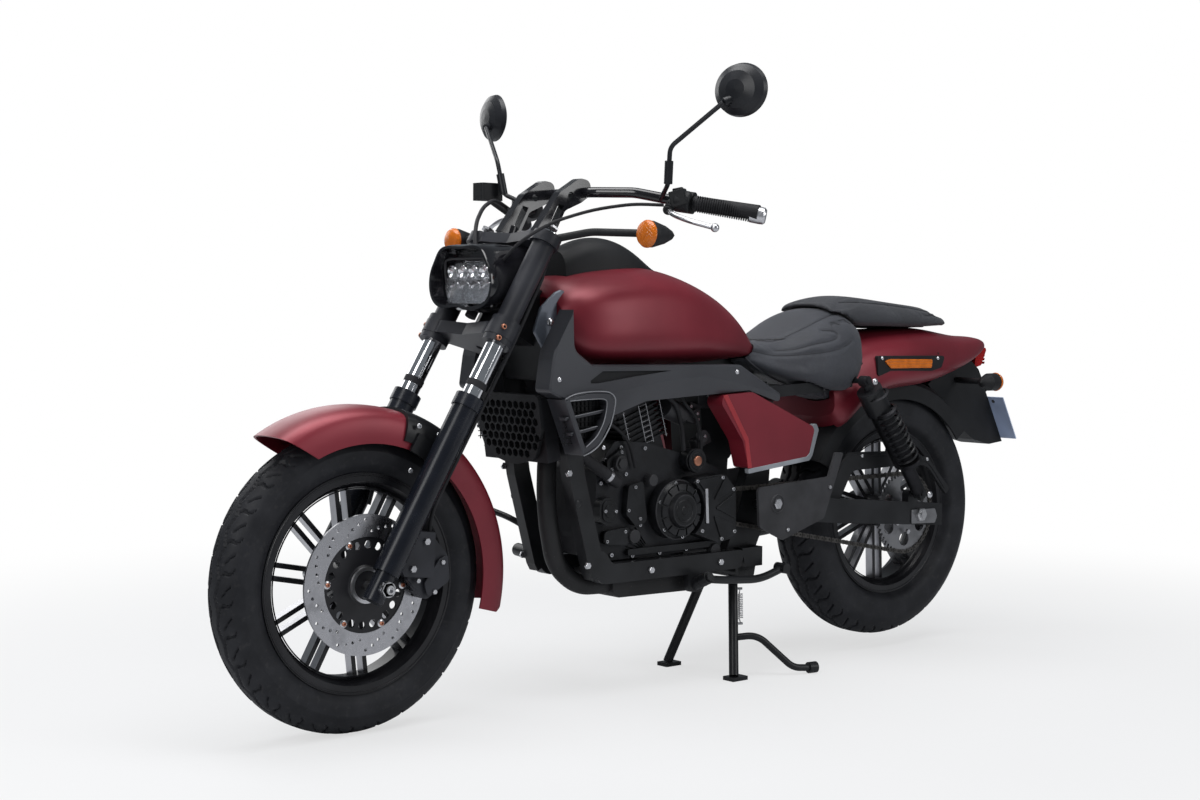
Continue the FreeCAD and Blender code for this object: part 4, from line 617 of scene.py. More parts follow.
def spots_mesh(spots):
    """Loose points that carry the way each repeat faces and its size."""
    mesh = bpy.data.meshes.new("spots")
    mesh.from_pydata([spot[0] for spot in spots], [], [])
    for label in ("facing", "girth"):
        layer = mesh.attributes.new(label, "FLOAT_VECTOR", "POINT")
        for index, spot in enumerate(spots):
            _, facing, girth, height = spot
            size = (girth / 1000, girth / 1000, height / 1000)
            layer.data[index].vector = facing if label == "facing" else size
    return mesh


def mesh_object(name, shape):
    mesh = bpy.data.meshes.new(name)
    shape.to_mesh(mesh)
    shape.free()
    return bpy.data.objects.new(name, mesh)


def scatter_tree():
    """Sets a part on loose points, turned the way each one faces."""
    tree = Tree("set_on_points", {"Part": "Object", "Finish": "Material"})
    facing = tree.add("GeometryNodeInputNamedAttribute", {"data_type": "FLOAT_VECTOR"}, Name="facing")
    girth = tree.add("GeometryNodeInputNamedAttribute", {"data_type": "FLOAT_VECTOR"}, Name="girth")
    align = tree.add("FunctionNodeAlignRotationToVector", {"axis": "Z"}, Vector=facing.outputs[0])
    info = tree.add("GeometryNodeObjectInfo", Object=tree.put("Part"))
    points = tree.add("GeometryNodeInstanceOnPoints", Points=tree.put("Geometry"),
                      Instance=info.outputs["Geometry"], Rotation=align.outputs[0], Scale=girth.outputs[0])
    return tree.end(points.outputs[0], tree.put("Finish"))


def head(name, sides, profile):
    """A fastener's head of unit girth, standing on z = 0, from (height, radius) steps."""
    spokes = circle(Vector((1, 0, 0)), Vector((0, 1, 0)), sides)
    return mesh_object(name, skin([[spoke * radius + Vector((0, 0, height)) for spoke in spokes]
                                   for height, radius in profile]))


SHANK = [(0.0, 1.0), (0.75, 1.0), (1.0, 0.86)]
HEADS = {
    "hex": head("hex_head", 6, SHANK),
    "socket": head("socket_head", 12, SHANK + [(1.0, 0.52), (0.35, 0.48)]),
    "dome": head("dome_head", 12, [(0.0, 1.0), (0.35, 0.97), (0.7, 0.8), (0.9, 0.5)]),
}
SCATTER = scatter_tree()
LEFT, RIGHT = Vector((0, 1, 0)), Vector((0, -1, 0))
BOTH_SIDES = (1, -1)


def outwards(rows, sides=BOTH_SIDES):
    """Fasteners given as (x, y, z, girth, height), set facing outwards on each side."""
    return [(at(x, side * y, z), Vector((0, side, 0)), girth, height)
            for x, y, z, girth, height in rows for side in sides]


def fasteners(name, body, kind, spots, finish="bolt"):
    """Bolt heads at (place, facing, radius, height), as one piece for one body."""
    mesh = grown(spots_mesh(spots), SCATTER, Part=HEADS[kind], Finish=FINISH[finish])
    return piece(name, body, mesh, finish, smooth=35)


def tint(node, finishes, choose):
    """Gives each face of a CAD node the finish whose number choose(centre, normal) returns."""
    for face in painted(NODES[node].data, *finishes).polygons:
        face.material_index = int(choose(face.center, face.normal))


def set_out(name, body, part, spots, finish, *stands_for):
    """Copies of a part, each at (place, way it faces), full size."""
    mesh = grown(spots_mesh([(place, facing, 1000, 1000) for place, facing in spots]), SCATTER,
                 Part=part, Finish=FINISH[finish])
    return piece(name, body, mesh, finish, *stands_for, smooth=35)


# Wheels
FRONT_HUB = at(1560, 0, 302)
REAR_HUB = at(0, 0, 343)


def around(hub, radius, degrees, y):
    """A place on a circle about an axle; degrees count up from straight ahead."""
    turn = math.radians(degrees)
    return hub + Vector((radius * math.cos(turn), y, radius * math.sin(turn))) / 1000


TREAD_DEPTH = 5.5


def groove(distance, half):
    """1 inside a tread groove, 0 outside, with sloped flanks."""
    return 1 - eased(min(1, max(0, (distance - half + 1.0) / 2.0)))


def tread(along, across, pitch, edge):
    """Depth share of the tread: a zigzag each side of the crown, curved arms and short sipes."""
    side = abs(across)
    turns = along / pitch + (0.5 if across > 0 else 0)
    zigzag = 9 + 9 * abs((turns * 2) % 2 - 1)
    depth = groove(abs(side - zigzag), 3.0)
    share = (side - 17) / (edge - 17)
    if 0 <= share <= 1:
        lean = 0.44 * share + 0.10 * math.sin(2 * math.pi * share)
        gap = abs((turns - lean + 0.5) % 1 - 0.5) * pitch
        depth = max(depth, groove(gap, 3.9 - 1.5 * share))
    share = (side - 25) / (edge * 0.88 - 25)
    if 0 <= share <= 1:
        gap = abs((turns - 0.5 - 0.36 * share + 0.5) % 1 - 0.5) * pitch
        depth = max(depth, groove(gap, 2.5))
    return depth


def tyre(name, node, body, hub, radius, width, rim_radius, rim_width, pitches, edge):
    """A tyre with cut tread and two raised lines on each wall."""
    bead = rim_width / 2 - 7.3
    low = rim_radius + 0.3
    flank = radius - (radius - rim_radius) * 0.45
    half = [(0, radius), (width * 0.16, radius - 1.2), (width * 0.30, radius - 8.5), (width * 0.41, radius - 21),
            (width * 0.475, radius - 36), (width * 0.495, flank), (width * 0.47, low + 26),
            (bead + 5, low + 10), (bead, low)]
    outline = [(-y, r, 0) for y, r in half[:0:-1]] + [(y, r, 0) for y, r in half]
    line = smooth_line(outline, 104)
    reach = lengths_along(line)
    pitch = 2 * math.pi * radius / pitches
    steps = pitches * 26
    rows = []
    for step in range(steps):
        turn = 2 * math.pi * step / steps
        row = []
        for spot, length in zip(line, reach):
            across = length - reach[-1] / 2
            girth = spot.y - TREAD_DEPTH * tread(turn * radius, across, pitch, edge)
            if abs(abs(across) - edge - 16) < 1.0 or abs(abs(across) - edge - 24) < 0.8:
                girth += 0.7
            row.append(hub + Vector((girth * math.cos(turn), spot.x, girth * math.sin(turn))) / 1000)
        rows.append(row)
    piece(name, body, skin(rows + rows[:1], caps=False), "tyre", node, smooth=50)


tyre("front_tyre_tread", "front_tyre", "front_wheel", FRONT_HUB, 302, 108, 212, 88, 30, 50)
tyre("rear_tyre_tread", "rear_tyre", "rear_wheel", REAR_HUB, 311, 144, 198, 100, 28, 66)


def wheel_trim(prefix, hub, rim_radius, width):
    """Spoke flanks in pale metal as a painted highlight, the rim's lips and the valve."""
    # The spokes' flank faces take pale metal: a painted highlight.
    def choose(centre, normal):
        out = math.hypot(centre.x - hub.x, centre.z - hub.z) * 1000
        if not 46 < out < rim_radius - 22:
            return 0
        outward = Vector((centre.x - hub.x, 0, centre.z - hub.z)).normalized()
        return 1 if abs(normal.y) < 0.6 and abs(normal.dot(outward)) < 0.4 else 0

    tint(prefix + "_rim", ["rim", "spoke"], choose)
    beads = []
    lip = rim_radius + 6
    for side in (-1, 1):
        edge = side * (width / 2 + 0.4)
        beads.append(turned([(0, lip - 4), (0, lip), (side * 1.2, lip - 1), (side * 1.2, lip - 3)],
                            hub + Vector((0, edge / 1000, 0)), steps=128))
    for reach in (rim_radius - 24, rim_radius - 20):
        beads.append(turned([(width / 2 - 20, reach - 2), (width / 2 - 16, reach), (width / 2 - 20, reach + 1)],
                            hub, steps=128))
    valve = around(hub, rim_radius - 24, 108, 0)
    beads.append(rod(valve, valve + (hub - valve).normalized() * 0.030, 4, 12))
    piece(prefix + "_rim_lips", prefix + "_wheel", joined(beads), "rim", slot="wheel_black")


wheel_trim("front", FRONT_HUB, 212, 88)
wheel_trim("rear", REAR_HUB, 198, 100)


def brake_disc():
    """The ground band of the disc, its bolts and the ring on the hub."""
    band_inner = 0.0948

    def choose(centre, normal):
        return 0 if math.hypot(centre.x - FRONT_HUB.x, centre.z - FRONT_HUB.z) > band_inner else 1

    tint("front_disc", ["disc", "rim"], choose)
    spots = [around(FRONT_HUB, 88, 5 + 60 * index, 61) for index in range(6)]
    fasteners("disc_washers", "front_wheel", "dome", [(spot, LEFT, 8.5, 2.5) for spot in spots])
    fasteners("disc_bolts", "front_wheel", "socket", [(spot + LEFT * 0.002, LEFT, 4.6, 3.4) for spot in spots],
              "copper")
    collar = turned([(65, 30), (65, 37), (69, 36), (69, 29)], FRONT_HUB)
    piece("front_hub_ring", "front_wheel", collar, "alloy", slot="wheel_black")


def axle_nuts():
    """Nuts of both axles, and the rear axle's adjusters."""
    fasteners("front_axle_nuts", "steering", "hex",
              [(FRONT_HUB + LEFT * 0.131, LEFT, 17, 15), (FRONT_HUB + RIGHT * 0.131, RIGHT, 17, 13)], "chrome")
    fasteners("rear_axle_nuts", "chassis", "hex", [(REAR_HUB + way * 0.151, way, 17, 11) for way in (LEFT, RIGHT)],
              "steel")
    plates = both(slab([(30, 356, 4), (-58, 354, 6), (-66, 334, 6), (-58, 318, 6), (30, 322, 4)], 148, 151.5))
    piece("axle_adjuster_plates", "chassis", plates, "sprocket", slot="steel", bevel=0.6)
    fasteners("chain_adjusters", "chassis", "hex",
              [(at(-86, y, 337), Vector((-1, 0, 0)), 6, 8) for y in (135, -135)])


def chain():
    """Outer and inner links by turns along the two runs and round both sprockets."""
    pitch = 12.7
    teeth = 48
    large = pitch / 2 / math.sin(math.pi / teeth)
    small = 34.0
    front, rear = Vector((640, 402)), Vector((0, 343))
    gap = front - rear
    tilt = math.asin((large - small) / gap.length)
    heading = math.atan2(gap.y, gap.x)
    run = gap.length * math.cos(tilt)
    wraps = ((rear, large, heading + math.pi / 2 - tilt, math.pi + 2 * tilt),
             (front, small, heading - math.pi / 2 + tilt, math.pi - 2 * tilt))
    length = 2 * run + sum(radius * sweep for _, radius, _, sweep in wraps)
    count = 2 * round(length / pitch / 2)

    def spot(along):
        along %= length
        for centre, radius, start, sweep in wraps:
            turn = start + min(along / radius, sweep)
            rim = centre + Vector((math.cos(turn), math.sin(turn))) * radius
            along -= radius * sweep
            if along < 0:
                return rim
            if along < run:
                return rim + Vector((-math.sin(turn), math.cos(turn))) * along
            along -= run

    def link(spread, thick):
        """Two side plates, their pins and rollers, for one pitch along z."""
        end_radius, waist, pin, roller = 5.4, 3.9, 2.2, 3.9
        outline = []
        for end in (-1, 1):
            for step in range(7):
                turn = math.radians(-90 * end + 30 * step)
                outline.append((end_radius * math.sin(turn), end * pitch / 2 + end_radius * math.cos(turn)))
            outline.append((end * waist, 0))
        shapes = [skin([[Vector((x, side * y, z)) / 1000 for x, z in outline] for y in (spread, spread + thick)])
                  for side in (-1, 1)]
        for end in (-1, 1):
            middle = Vector((0, 0, end * pitch / 2000))
            for half, radius in ((0.0066, pin), (0.0034, roller)):
                shapes.append(rod(middle + RIGHT * half, middle + LEFT * half, radius, 10))
        return mesh_object("link", joined(shapes))

    groups = ([], [])
    for index in range(count):
        here, there = spot(length * index / count), spot(length * (index + 1) / count)
        middle, way = (here + there) / 2, (there - here).normalized()
        groups[index % 2].append((at(middle.x, 99, middle.y), Vector((way.x, 0, way.y))))
    set_out("chain_outer_links", "chassis", link(4.6, 1.7), groups[0], "chain", "drive_chain")
    set_out("chain_inner_links", "chassis", link(2.9, 1.6), groups[1], "chain")


brake_disc()
axle_nuts()
chain()


# Lines, plates and repeats that follow the bodywork
SEEN_FROM = Vector((2.8997, 3.18, 0.8625))


def surface_of(mesh):
    """A mesh's faces, ready for rays and nearest points."""
    return BVHTree.FromPolygons([v.co for v in mesh.vertices], [tuple(f.vertices) for f in mesh.polygons])


def laid(tree, points, lift, count):
    """Evenly spread points on a surface, under a smooth line drawn as seen from the front left."""
    line = []
    for spot in smooth_line([at(*p) for p in points], count):
        place, normal, _, _ = tree.ray_cast(SEEN_FROM, (spot - SEEN_FROM).normalized())
        if place is None:
            place, normal, _, _ = tree.find_nearest(spot)
        line.append(place + normal * lift / 1000)
    return line


def bead(points, y, radius, count=60):
    """A thin raised line through (x, z) points at one y."""
    return pipe([at(x, y, z) for x, z in points], radius, 8, count)


def ring_on(centre, axis, radius, thick, steps=48):
    """A half-round ring standing on a face."""
    return turned([(0, radius - thick), (thick * 0.7, radius - thick * 0.6), (thick, radius),
                   (thick * 0.7, radius + thick * 0.6), (0, radius + thick)], centre, axis, steps)


def wedge_ring(centre, axis, inner, outer, low_in, low_out, lift, count, share):
    """Raised wedges round a circle, on a face that slopes from inner to outer radius."""
    across, third = frame_of(axis)
    axis = Vector(axis)
    shapes = []
    for index in range(count):
        rows = []
        for step in range(5):
            turn = 2 * math.pi * (index + (step / 4 - 0.5) * share) / count
            spoke = across * math.cos(turn) + third * math.sin(turn)
            rows.append([centre + (spoke * inner + axis * (low_in - 1)) / 1000,
                         centre + (spoke * (inner + 1) + axis * (low_in + lift)) / 1000,
                         centre + (spoke * (outer - 1) + axis * (low_out + lift)) / 1000,
                         centre + (spoke * outer + axis * (low_out - 1)) / 1000])
        shapes.append(skin(rows))
    return joined(shapes)


# Seats
SWELL_FRAMES = 20


def plump(node, finish, shrink, cap, floor):
    """A padded seat: foam that swells under its cover, flat where it rests."""
    mesh = NODES[node].data.copy()
    shape = bmesh.new()
    shape.from_mesh(mesh)
    bmesh.ops.remove_doubles(shape, verts=shape.verts, dist=1e-5)
    bmesh.ops.recalc_face_normals(shape, faces=shape.faces)
    shape.normal_update()
    for vert in shape.verts:
        vert.co -= vert.normal * shrink / 1000
    shape.to_mesh(mesh)
    shape.free()
    painted(mesh, finish)
    foam = linked("foam", mesh)
    even = foam.modifiers.new("even", "REMESH")
    even.mode = "VOXEL"
    even.voxel_size = 0.005
    foam.data = evaluated(foam)
    foam.modifiers.clear()
    start = [v.co.copy() for v in foam.data.vertices]
    held = foam.vertex_groups.new(name="held")
    resting = [v.index for v in foam.data.vertices if v.normal.z < -0.35 or v.co.z < floor / 1000]
    held.add(resting, 1.0, "REPLACE")
    swell = foam.modifiers.new("swell", "CLOTH")
    swell.settings.use_pressure = True
    swell.settings.uniform_pressure_force = 4
    swell.settings.vertex_group_mass = "held"
    swell.settings.effector_weights.gravity = 0
    swell.settings.quality = 4
    swell.point_cache.frame_end = SWELL_FRAMES
    for number in range(1, SWELL_FRAMES + 1):
        bpy.context.scene.frame_set(number)
    swollen = evaluated(foam)
    bpy.context.scene.frame_set(1)
    for vert, first in zip(swollen.vertices, start):
        move = vert.co - first
        if move.length > cap / 1000:
            vert.co = first + move.normalized() * cap / 1000
    bpy.data.objects.remove(foam)
    shape = bmesh.new()
    shape.from_mesh(swollen)
    bmesh.ops.smooth_vert(shape, verts=shape.verts, factor=0.5,
                          use_axis_x=True, use_axis_y=True, use_axis_z=True)
    bmesh.ops.recalc_face_normals(shape, faces=shape.faces)
    shape.to_mesh(swollen)
    shape.free()
    return painted(swollen, finish)


def quilted(mesh, lines, reach, depth):
    """Presses a sewn channel into a cover along each line, both sides."""
    spots = [spot for line in lines for spot in line]
    spots += [Vector((s.x, -s.y, s.z)) for s in spots]
    tree = KDTree(len(spots))
    for index, spot in enumerate(spots):
        tree.insert(spot, index)
    tree.balance()
    moves = []
    for vert in mesh.vertices:
        gap = tree.find(vert.co)[2] * 1000
        if gap < reach:
            moves.append((vert, vert.normal * -depth / 1000 * eased(1 - gap / reach)))
    for vert, move in moves:
        vert.co += move


def stitched(lines, gap, radius):
    """Short thread stitches along each line."""
    shapes = []
    for line in lines:
        for first, second in zip(line[::gap], line[gap // 2 + 1::gap]):
            shapes.append(rod(first, second, radius, 6))
    return joined(shapes)


def seats():
    """Both padded seats with their seams, stitches and welt."""
    rider = plump("rider_seat", "seat", 3.5, 6, 690)
    tree = surface_of(rider)
    seams = [[(552, 60, 782), (505, 72, 776), (455, 90, 772), (395, 112, 796), (325, 128, 826),
              (262, 132, 842), (205, 122, 836)],
             [(495, 60, 749), (421, 60, 737), (325, 60, 738), (227, 60, 745), (174, 60, 758), (150, 60, 772)],
             [(261, 60, 795), (222, 60, 793), (205, 60, 784), (220, 60, 772), (300, 60, 760), (351, 60, 751),
              (421, 60, 748)]]
    lines = [laid(tree, seam, 0.0, 150) for seam in seams]
    quilted(rider, lines, 9, 3.0)
    levels = 1
    piece("rider_seat_cover", "chassis", rider, "seat", "rider_seat", smooth=75, levels=levels)
    tree = surface_of(rider)
    sewn = [laid(tree, seam, 0.5, 150) for seam in seams]
    piece("rider_seat_stitching", "chassis", both(stitched(sewn, 4, 0.7)), "trim", slot="rider_leather")
    welt = laid(tree, [(600, 135, 742), (560, 135, 716), (515, 135, 694), (450, 135, 671), (390, 135, 656),
                       (326, 135, 636)], 0.4, 120)
    piece("rider_seat_welt", "chassis", both(pipe(welt, 2.2, 8)), "pillion", slot="rider_leather")
    pillion = plump("pillion_seat", "pillion", 3.0, 5, 806)
    tree = surface_of(pillion)
    edge = [(232, 86, 862), (180, 100, 862), (100, 104, 858), (0, 98, 850), (-90, 88, 840), (-150, 70, 832),
            (-176, 40, 830), (-182, 0, 830)]
    rows = [laid(tree, edge, 0.0, 170)]
    quilted(pillion, rows, 8, 2.4)
    piece("pillion_seat_cover", "chassis", pillion, "pillion", "pillion_seat", smooth=75, levels=levels)
    tree = surface_of(pillion)
    piece("pillion_stitching", "chassis", both(stitched([laid(tree, edge, 0.5, 170)], 4, 0.6)), "trim",
          slot="pillion_leather")


def inside(outline, x, z):
    """Whether a point lies within an outline."""
    within = False
    for (ax, az), (bx, bz) in zip(outline, outline[1:] + outline[:1]):
        if (az > z) != (bz > z) and x < ax + (z - az) * (bx - ax) / (bz - az):
            within = not within
    return within


def shroud_details():
    """Dark openings, pale lines painted along the scoop's edges as highlights, the mesh in the scoop and the bolts.
    """
    slot = [(1082, 688), (1036, 718), (830, 715), (947, 699), (1047, 687)]
    opening = [(1135, 660), (1038, 662), (1026, 648), (1034, 614), (1058, 577), (1092, 552)]

    slot_floor, scoop_floor = 159.4, 158

    def choose(centre, normal):
        x, z, out = (centre.x - REAR_AT) * 1000, centre.z * 1000, abs(centre.y) * 1000
        return 1 if out < slot_floor and inside(slot, x, z) or out < scoop_floor and inside(opening, x, z) else 0

    tint("shrouds", ["grey", "plastic"], choose)
    # Pale beads and rods along the scoop's rim, mouth and creases: painted highlights.
    rim = [(1144, 660), (1120, 669), (1078, 673.5), (1030, 672), (1010, 660), (1010, 640), (1020, 606), (1034, 583),
           (1052, 562), (1072, 549), (1094, 541)]
    mouth = [(1132, 656), (1080, 658), (1040, 657), (1032, 646), (1038, 616), (1048, 596), (1062, 578), (1088, 559)]
    lines = [bead(rim, 171.6, 1.3, 90), bead(mouth, 171.8, 1.1, 90)]
    for low, high in (((1134, 620.5), (1032, 634.5)), ((1120, 588.5), (1050, 600.5))):
        lines.append(rod(at(low[0], 161.8, low[1]), at(high[0], 161.8, high[1]), 1.0, 8))
    piece("shroud_bright_edges", "chassis", both(joined(lines)), "edge", slot="grey_paint")
    wires = []
    for shift in range(0, 99, 11):
        wires.append(rod(at(1036 + shift, 146, 560), at(1036 + shift, 146, 660), 1.2, 6))
        wires.append(rod(at(1034, 146, 566 + shift), at(1130, 146, 566 + shift), 1.2, 6))
    piece("scoop_mesh", "chassis", both(joined(wires)), "plastic", slot="black_plastic")
    fasteners("shroud_bolts", "chassis", "dome", outwards(
        [(1118, 87, 818, 9, 5), (1040, 171, 556, 5, 4), (1150, 159, 700, 6, 4), (640, 159, 706, 6, 4)]))
    fasteners("head_plate_studs", "chassis", "hex", outwards([(1080, 87, 762, 6, 5)]), "copper")


def tail_details():
    """Side reflectors and the tail lamp's ribs."""
    base = [(139, 734, 6), (-112, 731, 8), (-100, 702, 10), (-64, 694, 10), (91, 697, 10), (138, 683, 8)]
    amber = [(118, 721, 5), (94, 726, 5), (-60, 723, 5), (-57, 702, 5), (93, 703, 5)]
    piece("reflector_bases", "chassis", both(slab(base, 120, 131.5)), "plastic", slot="black_plastic", bevel=1.2)
    piece("side_reflectors", "chassis", both(slab(amber, 131, 134, 0.8, 2)), "amber", slot="amber_lens")
    fasteners("reflector_bolts", "chassis", "dome", outwards([(124, 131, 728, 5, 4), (-84, 131, 725, 5, 4)]))
    lamp = [block(at(-388.4, 0, 706 + 9 * row), (1.6, 72, 6.4), (0, -26, 0)) for row in range(4)]
    piece("tail_lamp_ribs", "chassis", joined(lamp), "red_lens", slot="red_lens", bevel=0.5)


def side_cover_details():
    """The ridge of each side cover in a brighter red, as a painted highlight, and its pale trim."""
    stripe = [(668, 656), (602, 556), (590, 489), (602, 488), (613, 550), (682, 654)]
    # The ridge's brighter red is a painted highlight.
    piece("side_cover_ridge", "chassis", both(slab(stripe, 156, 159.4)), "copper_red", slot="red_paint", bevel=1.0)
    trim = [(380, 582, 8), (372, 566, 8), (392, 508, 8), (402, 496, 8), (600, 476, 3), (601, 487, 3), (412, 506, 8),
            (402, 514, 8), (386, 566, 8), (396, 578, 8)]
    piece("side_cover_trim", "chassis", both(slab(trim, 146, 158.6)), "silver", slot="plate_paint", bevel=1.2)


def fender_details():
    fasteners("fender_bolts", "steering", "socket", outwards(
        [(x, 85.5, z, 5.5, 3.5) for x, z in ((1449, 612), (1402, 592), (1470, 524), (1442, 515))]))


seats()
shroud_details()
tail_details()
side_cover_details()
fender_details()


# Engine
BARREL_FOOT = (806, 500)
BARREL_LEAN = math.radians(16)


def on_barrel(up, ahead, y):
    """A place measured along the leaning cylinder from its foot."""
    x, z = BARREL_FOOT
    sine, cosine = math.sin(BARREL_LEAN), math.cos(BARREL_LEAN)
    return at(x + up * sine + ahead * cosine, y, z + up * cosine - ahead * sine)


def on_circle(x, y, z, radius, angles, girth, height):
    """Fasteners round a circle, as rows for outwards()."""
    return [(x + radius * math.cos(math.radians(a)), y, z + radius * math.sin(math.radians(a)), girth, height)
            for a in angles]


def engine_covers():
    """Rings, segments and facets of the covers on the left."""
    generator = at(769, 80, 402)
    boss = generator + LEFT * 0.0515
    rings = [wedge_ring(generator, LEFT, 43, 59, 40, 37.5, 4, 12, 0.86), ring_on(boss, LEFT, 24, 2.4),
             turned([(51, 0), (54, 0), (54, 9), (51, 11)], generator, LEFT, 32, False)]
    piece("generator_segments", "chassis", joined(rings), "cover", slot="engine_black", bevel=0.6)
    rim = [ring_on(generator + LEFT * 0.0285, LEFT, 65, 2.0, 72), ring_on(boss, LEFT, 34, 1.0, 48)]
    piece("generator_rings", "chassis", joined(rim), "trim", slot="engine_black")
    fins = [slab([(726, 466, 4), (652, 472, 6), (690, 424, 3)], 123.5, 127),
            slab([(640, 470, 5), (612, 440, 5), (676, 418, 3)], 123.5, 127),
            slab([(610, 432, 4), (608, 372, 4), (670, 400, 3)], 123.5, 127),
            slab([(610, 362, 4), (610, 336, 6), (652, 328, 6), (676, 384, 3)], 123.5, 127)]
    piece("sprocket_cover_facets", "chassis", joined(fins), "cover", slot="engine_black", bevel=1.2)
    strip = slab([(704, 446, 2), (696, 446, 2), (692, 368, 2), (700, 368, 2)], 123.5, 128)
    piece("sprocket_cover_strip", "chassis", strip, "alloy", slot="lever_alloy", bevel=0.6)
    cap = turned([(0, 0), (2.4, 0), (3.2, 8), (2.4, 11), (0, 12)], at(716, 114, 508), LEFT, 40, False)
    piece("round_cover_cap", "chassis", cap, "copper", slot="steel")
    collars = [ring_on(at(716, 113.6, 508), LEFT, 19, 2.0), ring_on(at(716, 107, 508), LEFT, 26, 1.6)]
    piece("round_cover_rings", "chassis", joined(collars), "cover", slot="engine_black")
    oval = slab([(984, 434, 16), (984, 391, 16), (946, 383, 16), (946, 434, 16)], 101.5, 105)
    inner = slab([(977, 425, 10), (977, 400, 10), (954, 394, 10), (954, 425, 10)], 104.5, 107)
    piece("oval_cover_steps", "chassis", joined([oval, inner]), "cover", slot="engine_black", bevel=1)


def engine_bolts():
    """Bolts of both sides, and the clutch cover's ribs."""
    spots = outwards(on_circle(769, 109, 402, 61, (20, 78, 140, 205, 262, 318), 4.6, 6)
                     + [(x, 124, z, 4.6, 4.5) for x, z in
                        ((728, 464), (650, 468), (616, 440), (612, 344), (652, 330), (712, 352))], (1,))
    spots += outwards([(x, 79.5, z, 5, 4.5) for x, z in
                       ((965, 352), (972, 470), (960, 520), (915, 545), (845, 540), (700, 500), (640, 312),
                        (720, 308), (800, 306), (880, 306), (940, 312), (900, 486), (858, 372))])
    spots += outwards([(979, 105, 412, 4, 4), (949, 105, 410, 4, 4)], (1,))
    fasteners("engine_bolts_left", "chassis", "socket", spots)
    spots = outwards(on_circle(700, 117, 404, 71, range(22, 382, 45), 4.6, 5)
                     + on_circle(860, 118, 380, 30, (90, 210, 330), 4.4, 4), (-1,))
    fasteners("engine_bolts_right", "chassis", "socket", spots)
    clutch = at(700, -122, 404)
    rings = [wedge_ring(clutch, RIGHT, 40, 60, 0, 0, 3, 10, 0.84), ring_on(clutch, RIGHT, 26, 2.2)]
    piece("clutch_cover_ribs", "chassis", joined(rings), "cover", slot="engine_black", bevel=0.6)
    fasteners("down_tube_plugs", "chassis", "dome", outwards([(1058, 110, 434, 9, 3)]), "frame")
    mounts = ((1085, 500), (1032, 300), (640, 275), (850, 275))
    fasteners("engine_mount_bolts", "chassis", "hex", outwards([(x, 110, z, 8, 6) for x, z in mounts]))


def cylinder_edges():
    """Machined edges on the fins, the valve cover's bolts and the plug lead."""
    shapes = []
    for side in BOTH_SIDES:
        for index in range(8):
            up = 54 + index * 12
            for low, high in ((-57, -50), (-14, 8), (50, 57)):
                shapes.append(rod(on_barrel(up, low, side * 68.2), on_barrel(up, high, side * 68.0), 0.9, 6))
        for ahead in (-54, 54, -14, 8):
            shapes.append(rod(on_barrel(50, ahead, side * 67.6), on_barrel(140, ahead, side * 67.6), 0.9, 6))
    piece("fin_edges", "chassis", joined(shapes), "spoke", slot="lever_alloy")
    up = Vector((math.sin(BARREL_LEAN), 0, math.cos(BARREL_LEAN)))
    fasteners("head_bolts", "chassis", "hex",
              [(on_barrel(196, ahead, y), up, 7, 6) for ahead in (-56, 60) for y in (-58, 58)])
    fasteners("head_side_bolts", "chassis", "socket",
              [(on_barrel(high, ahead, 74), LEFT, 5, 5) for high in (152, 186) for ahead in (-50, 2, 54)])
    boot = pipe([on_barrel(170, 24, 72), on_barrel(174, 24, 92), on_barrel(182, 10, 104)], [9, 9, 6], 12, 12)
    lead = pipe([on_barrel(182, 10, 103), on_barrel(192, -30, 108), on_barrel(196, -76, 92),
                 on_barrel(180, -112, 66)], 3.4, 10, 30)
    piece("plug_lead", "chassis", joined([boot, lead]), "grip", slot="grip_rubber")


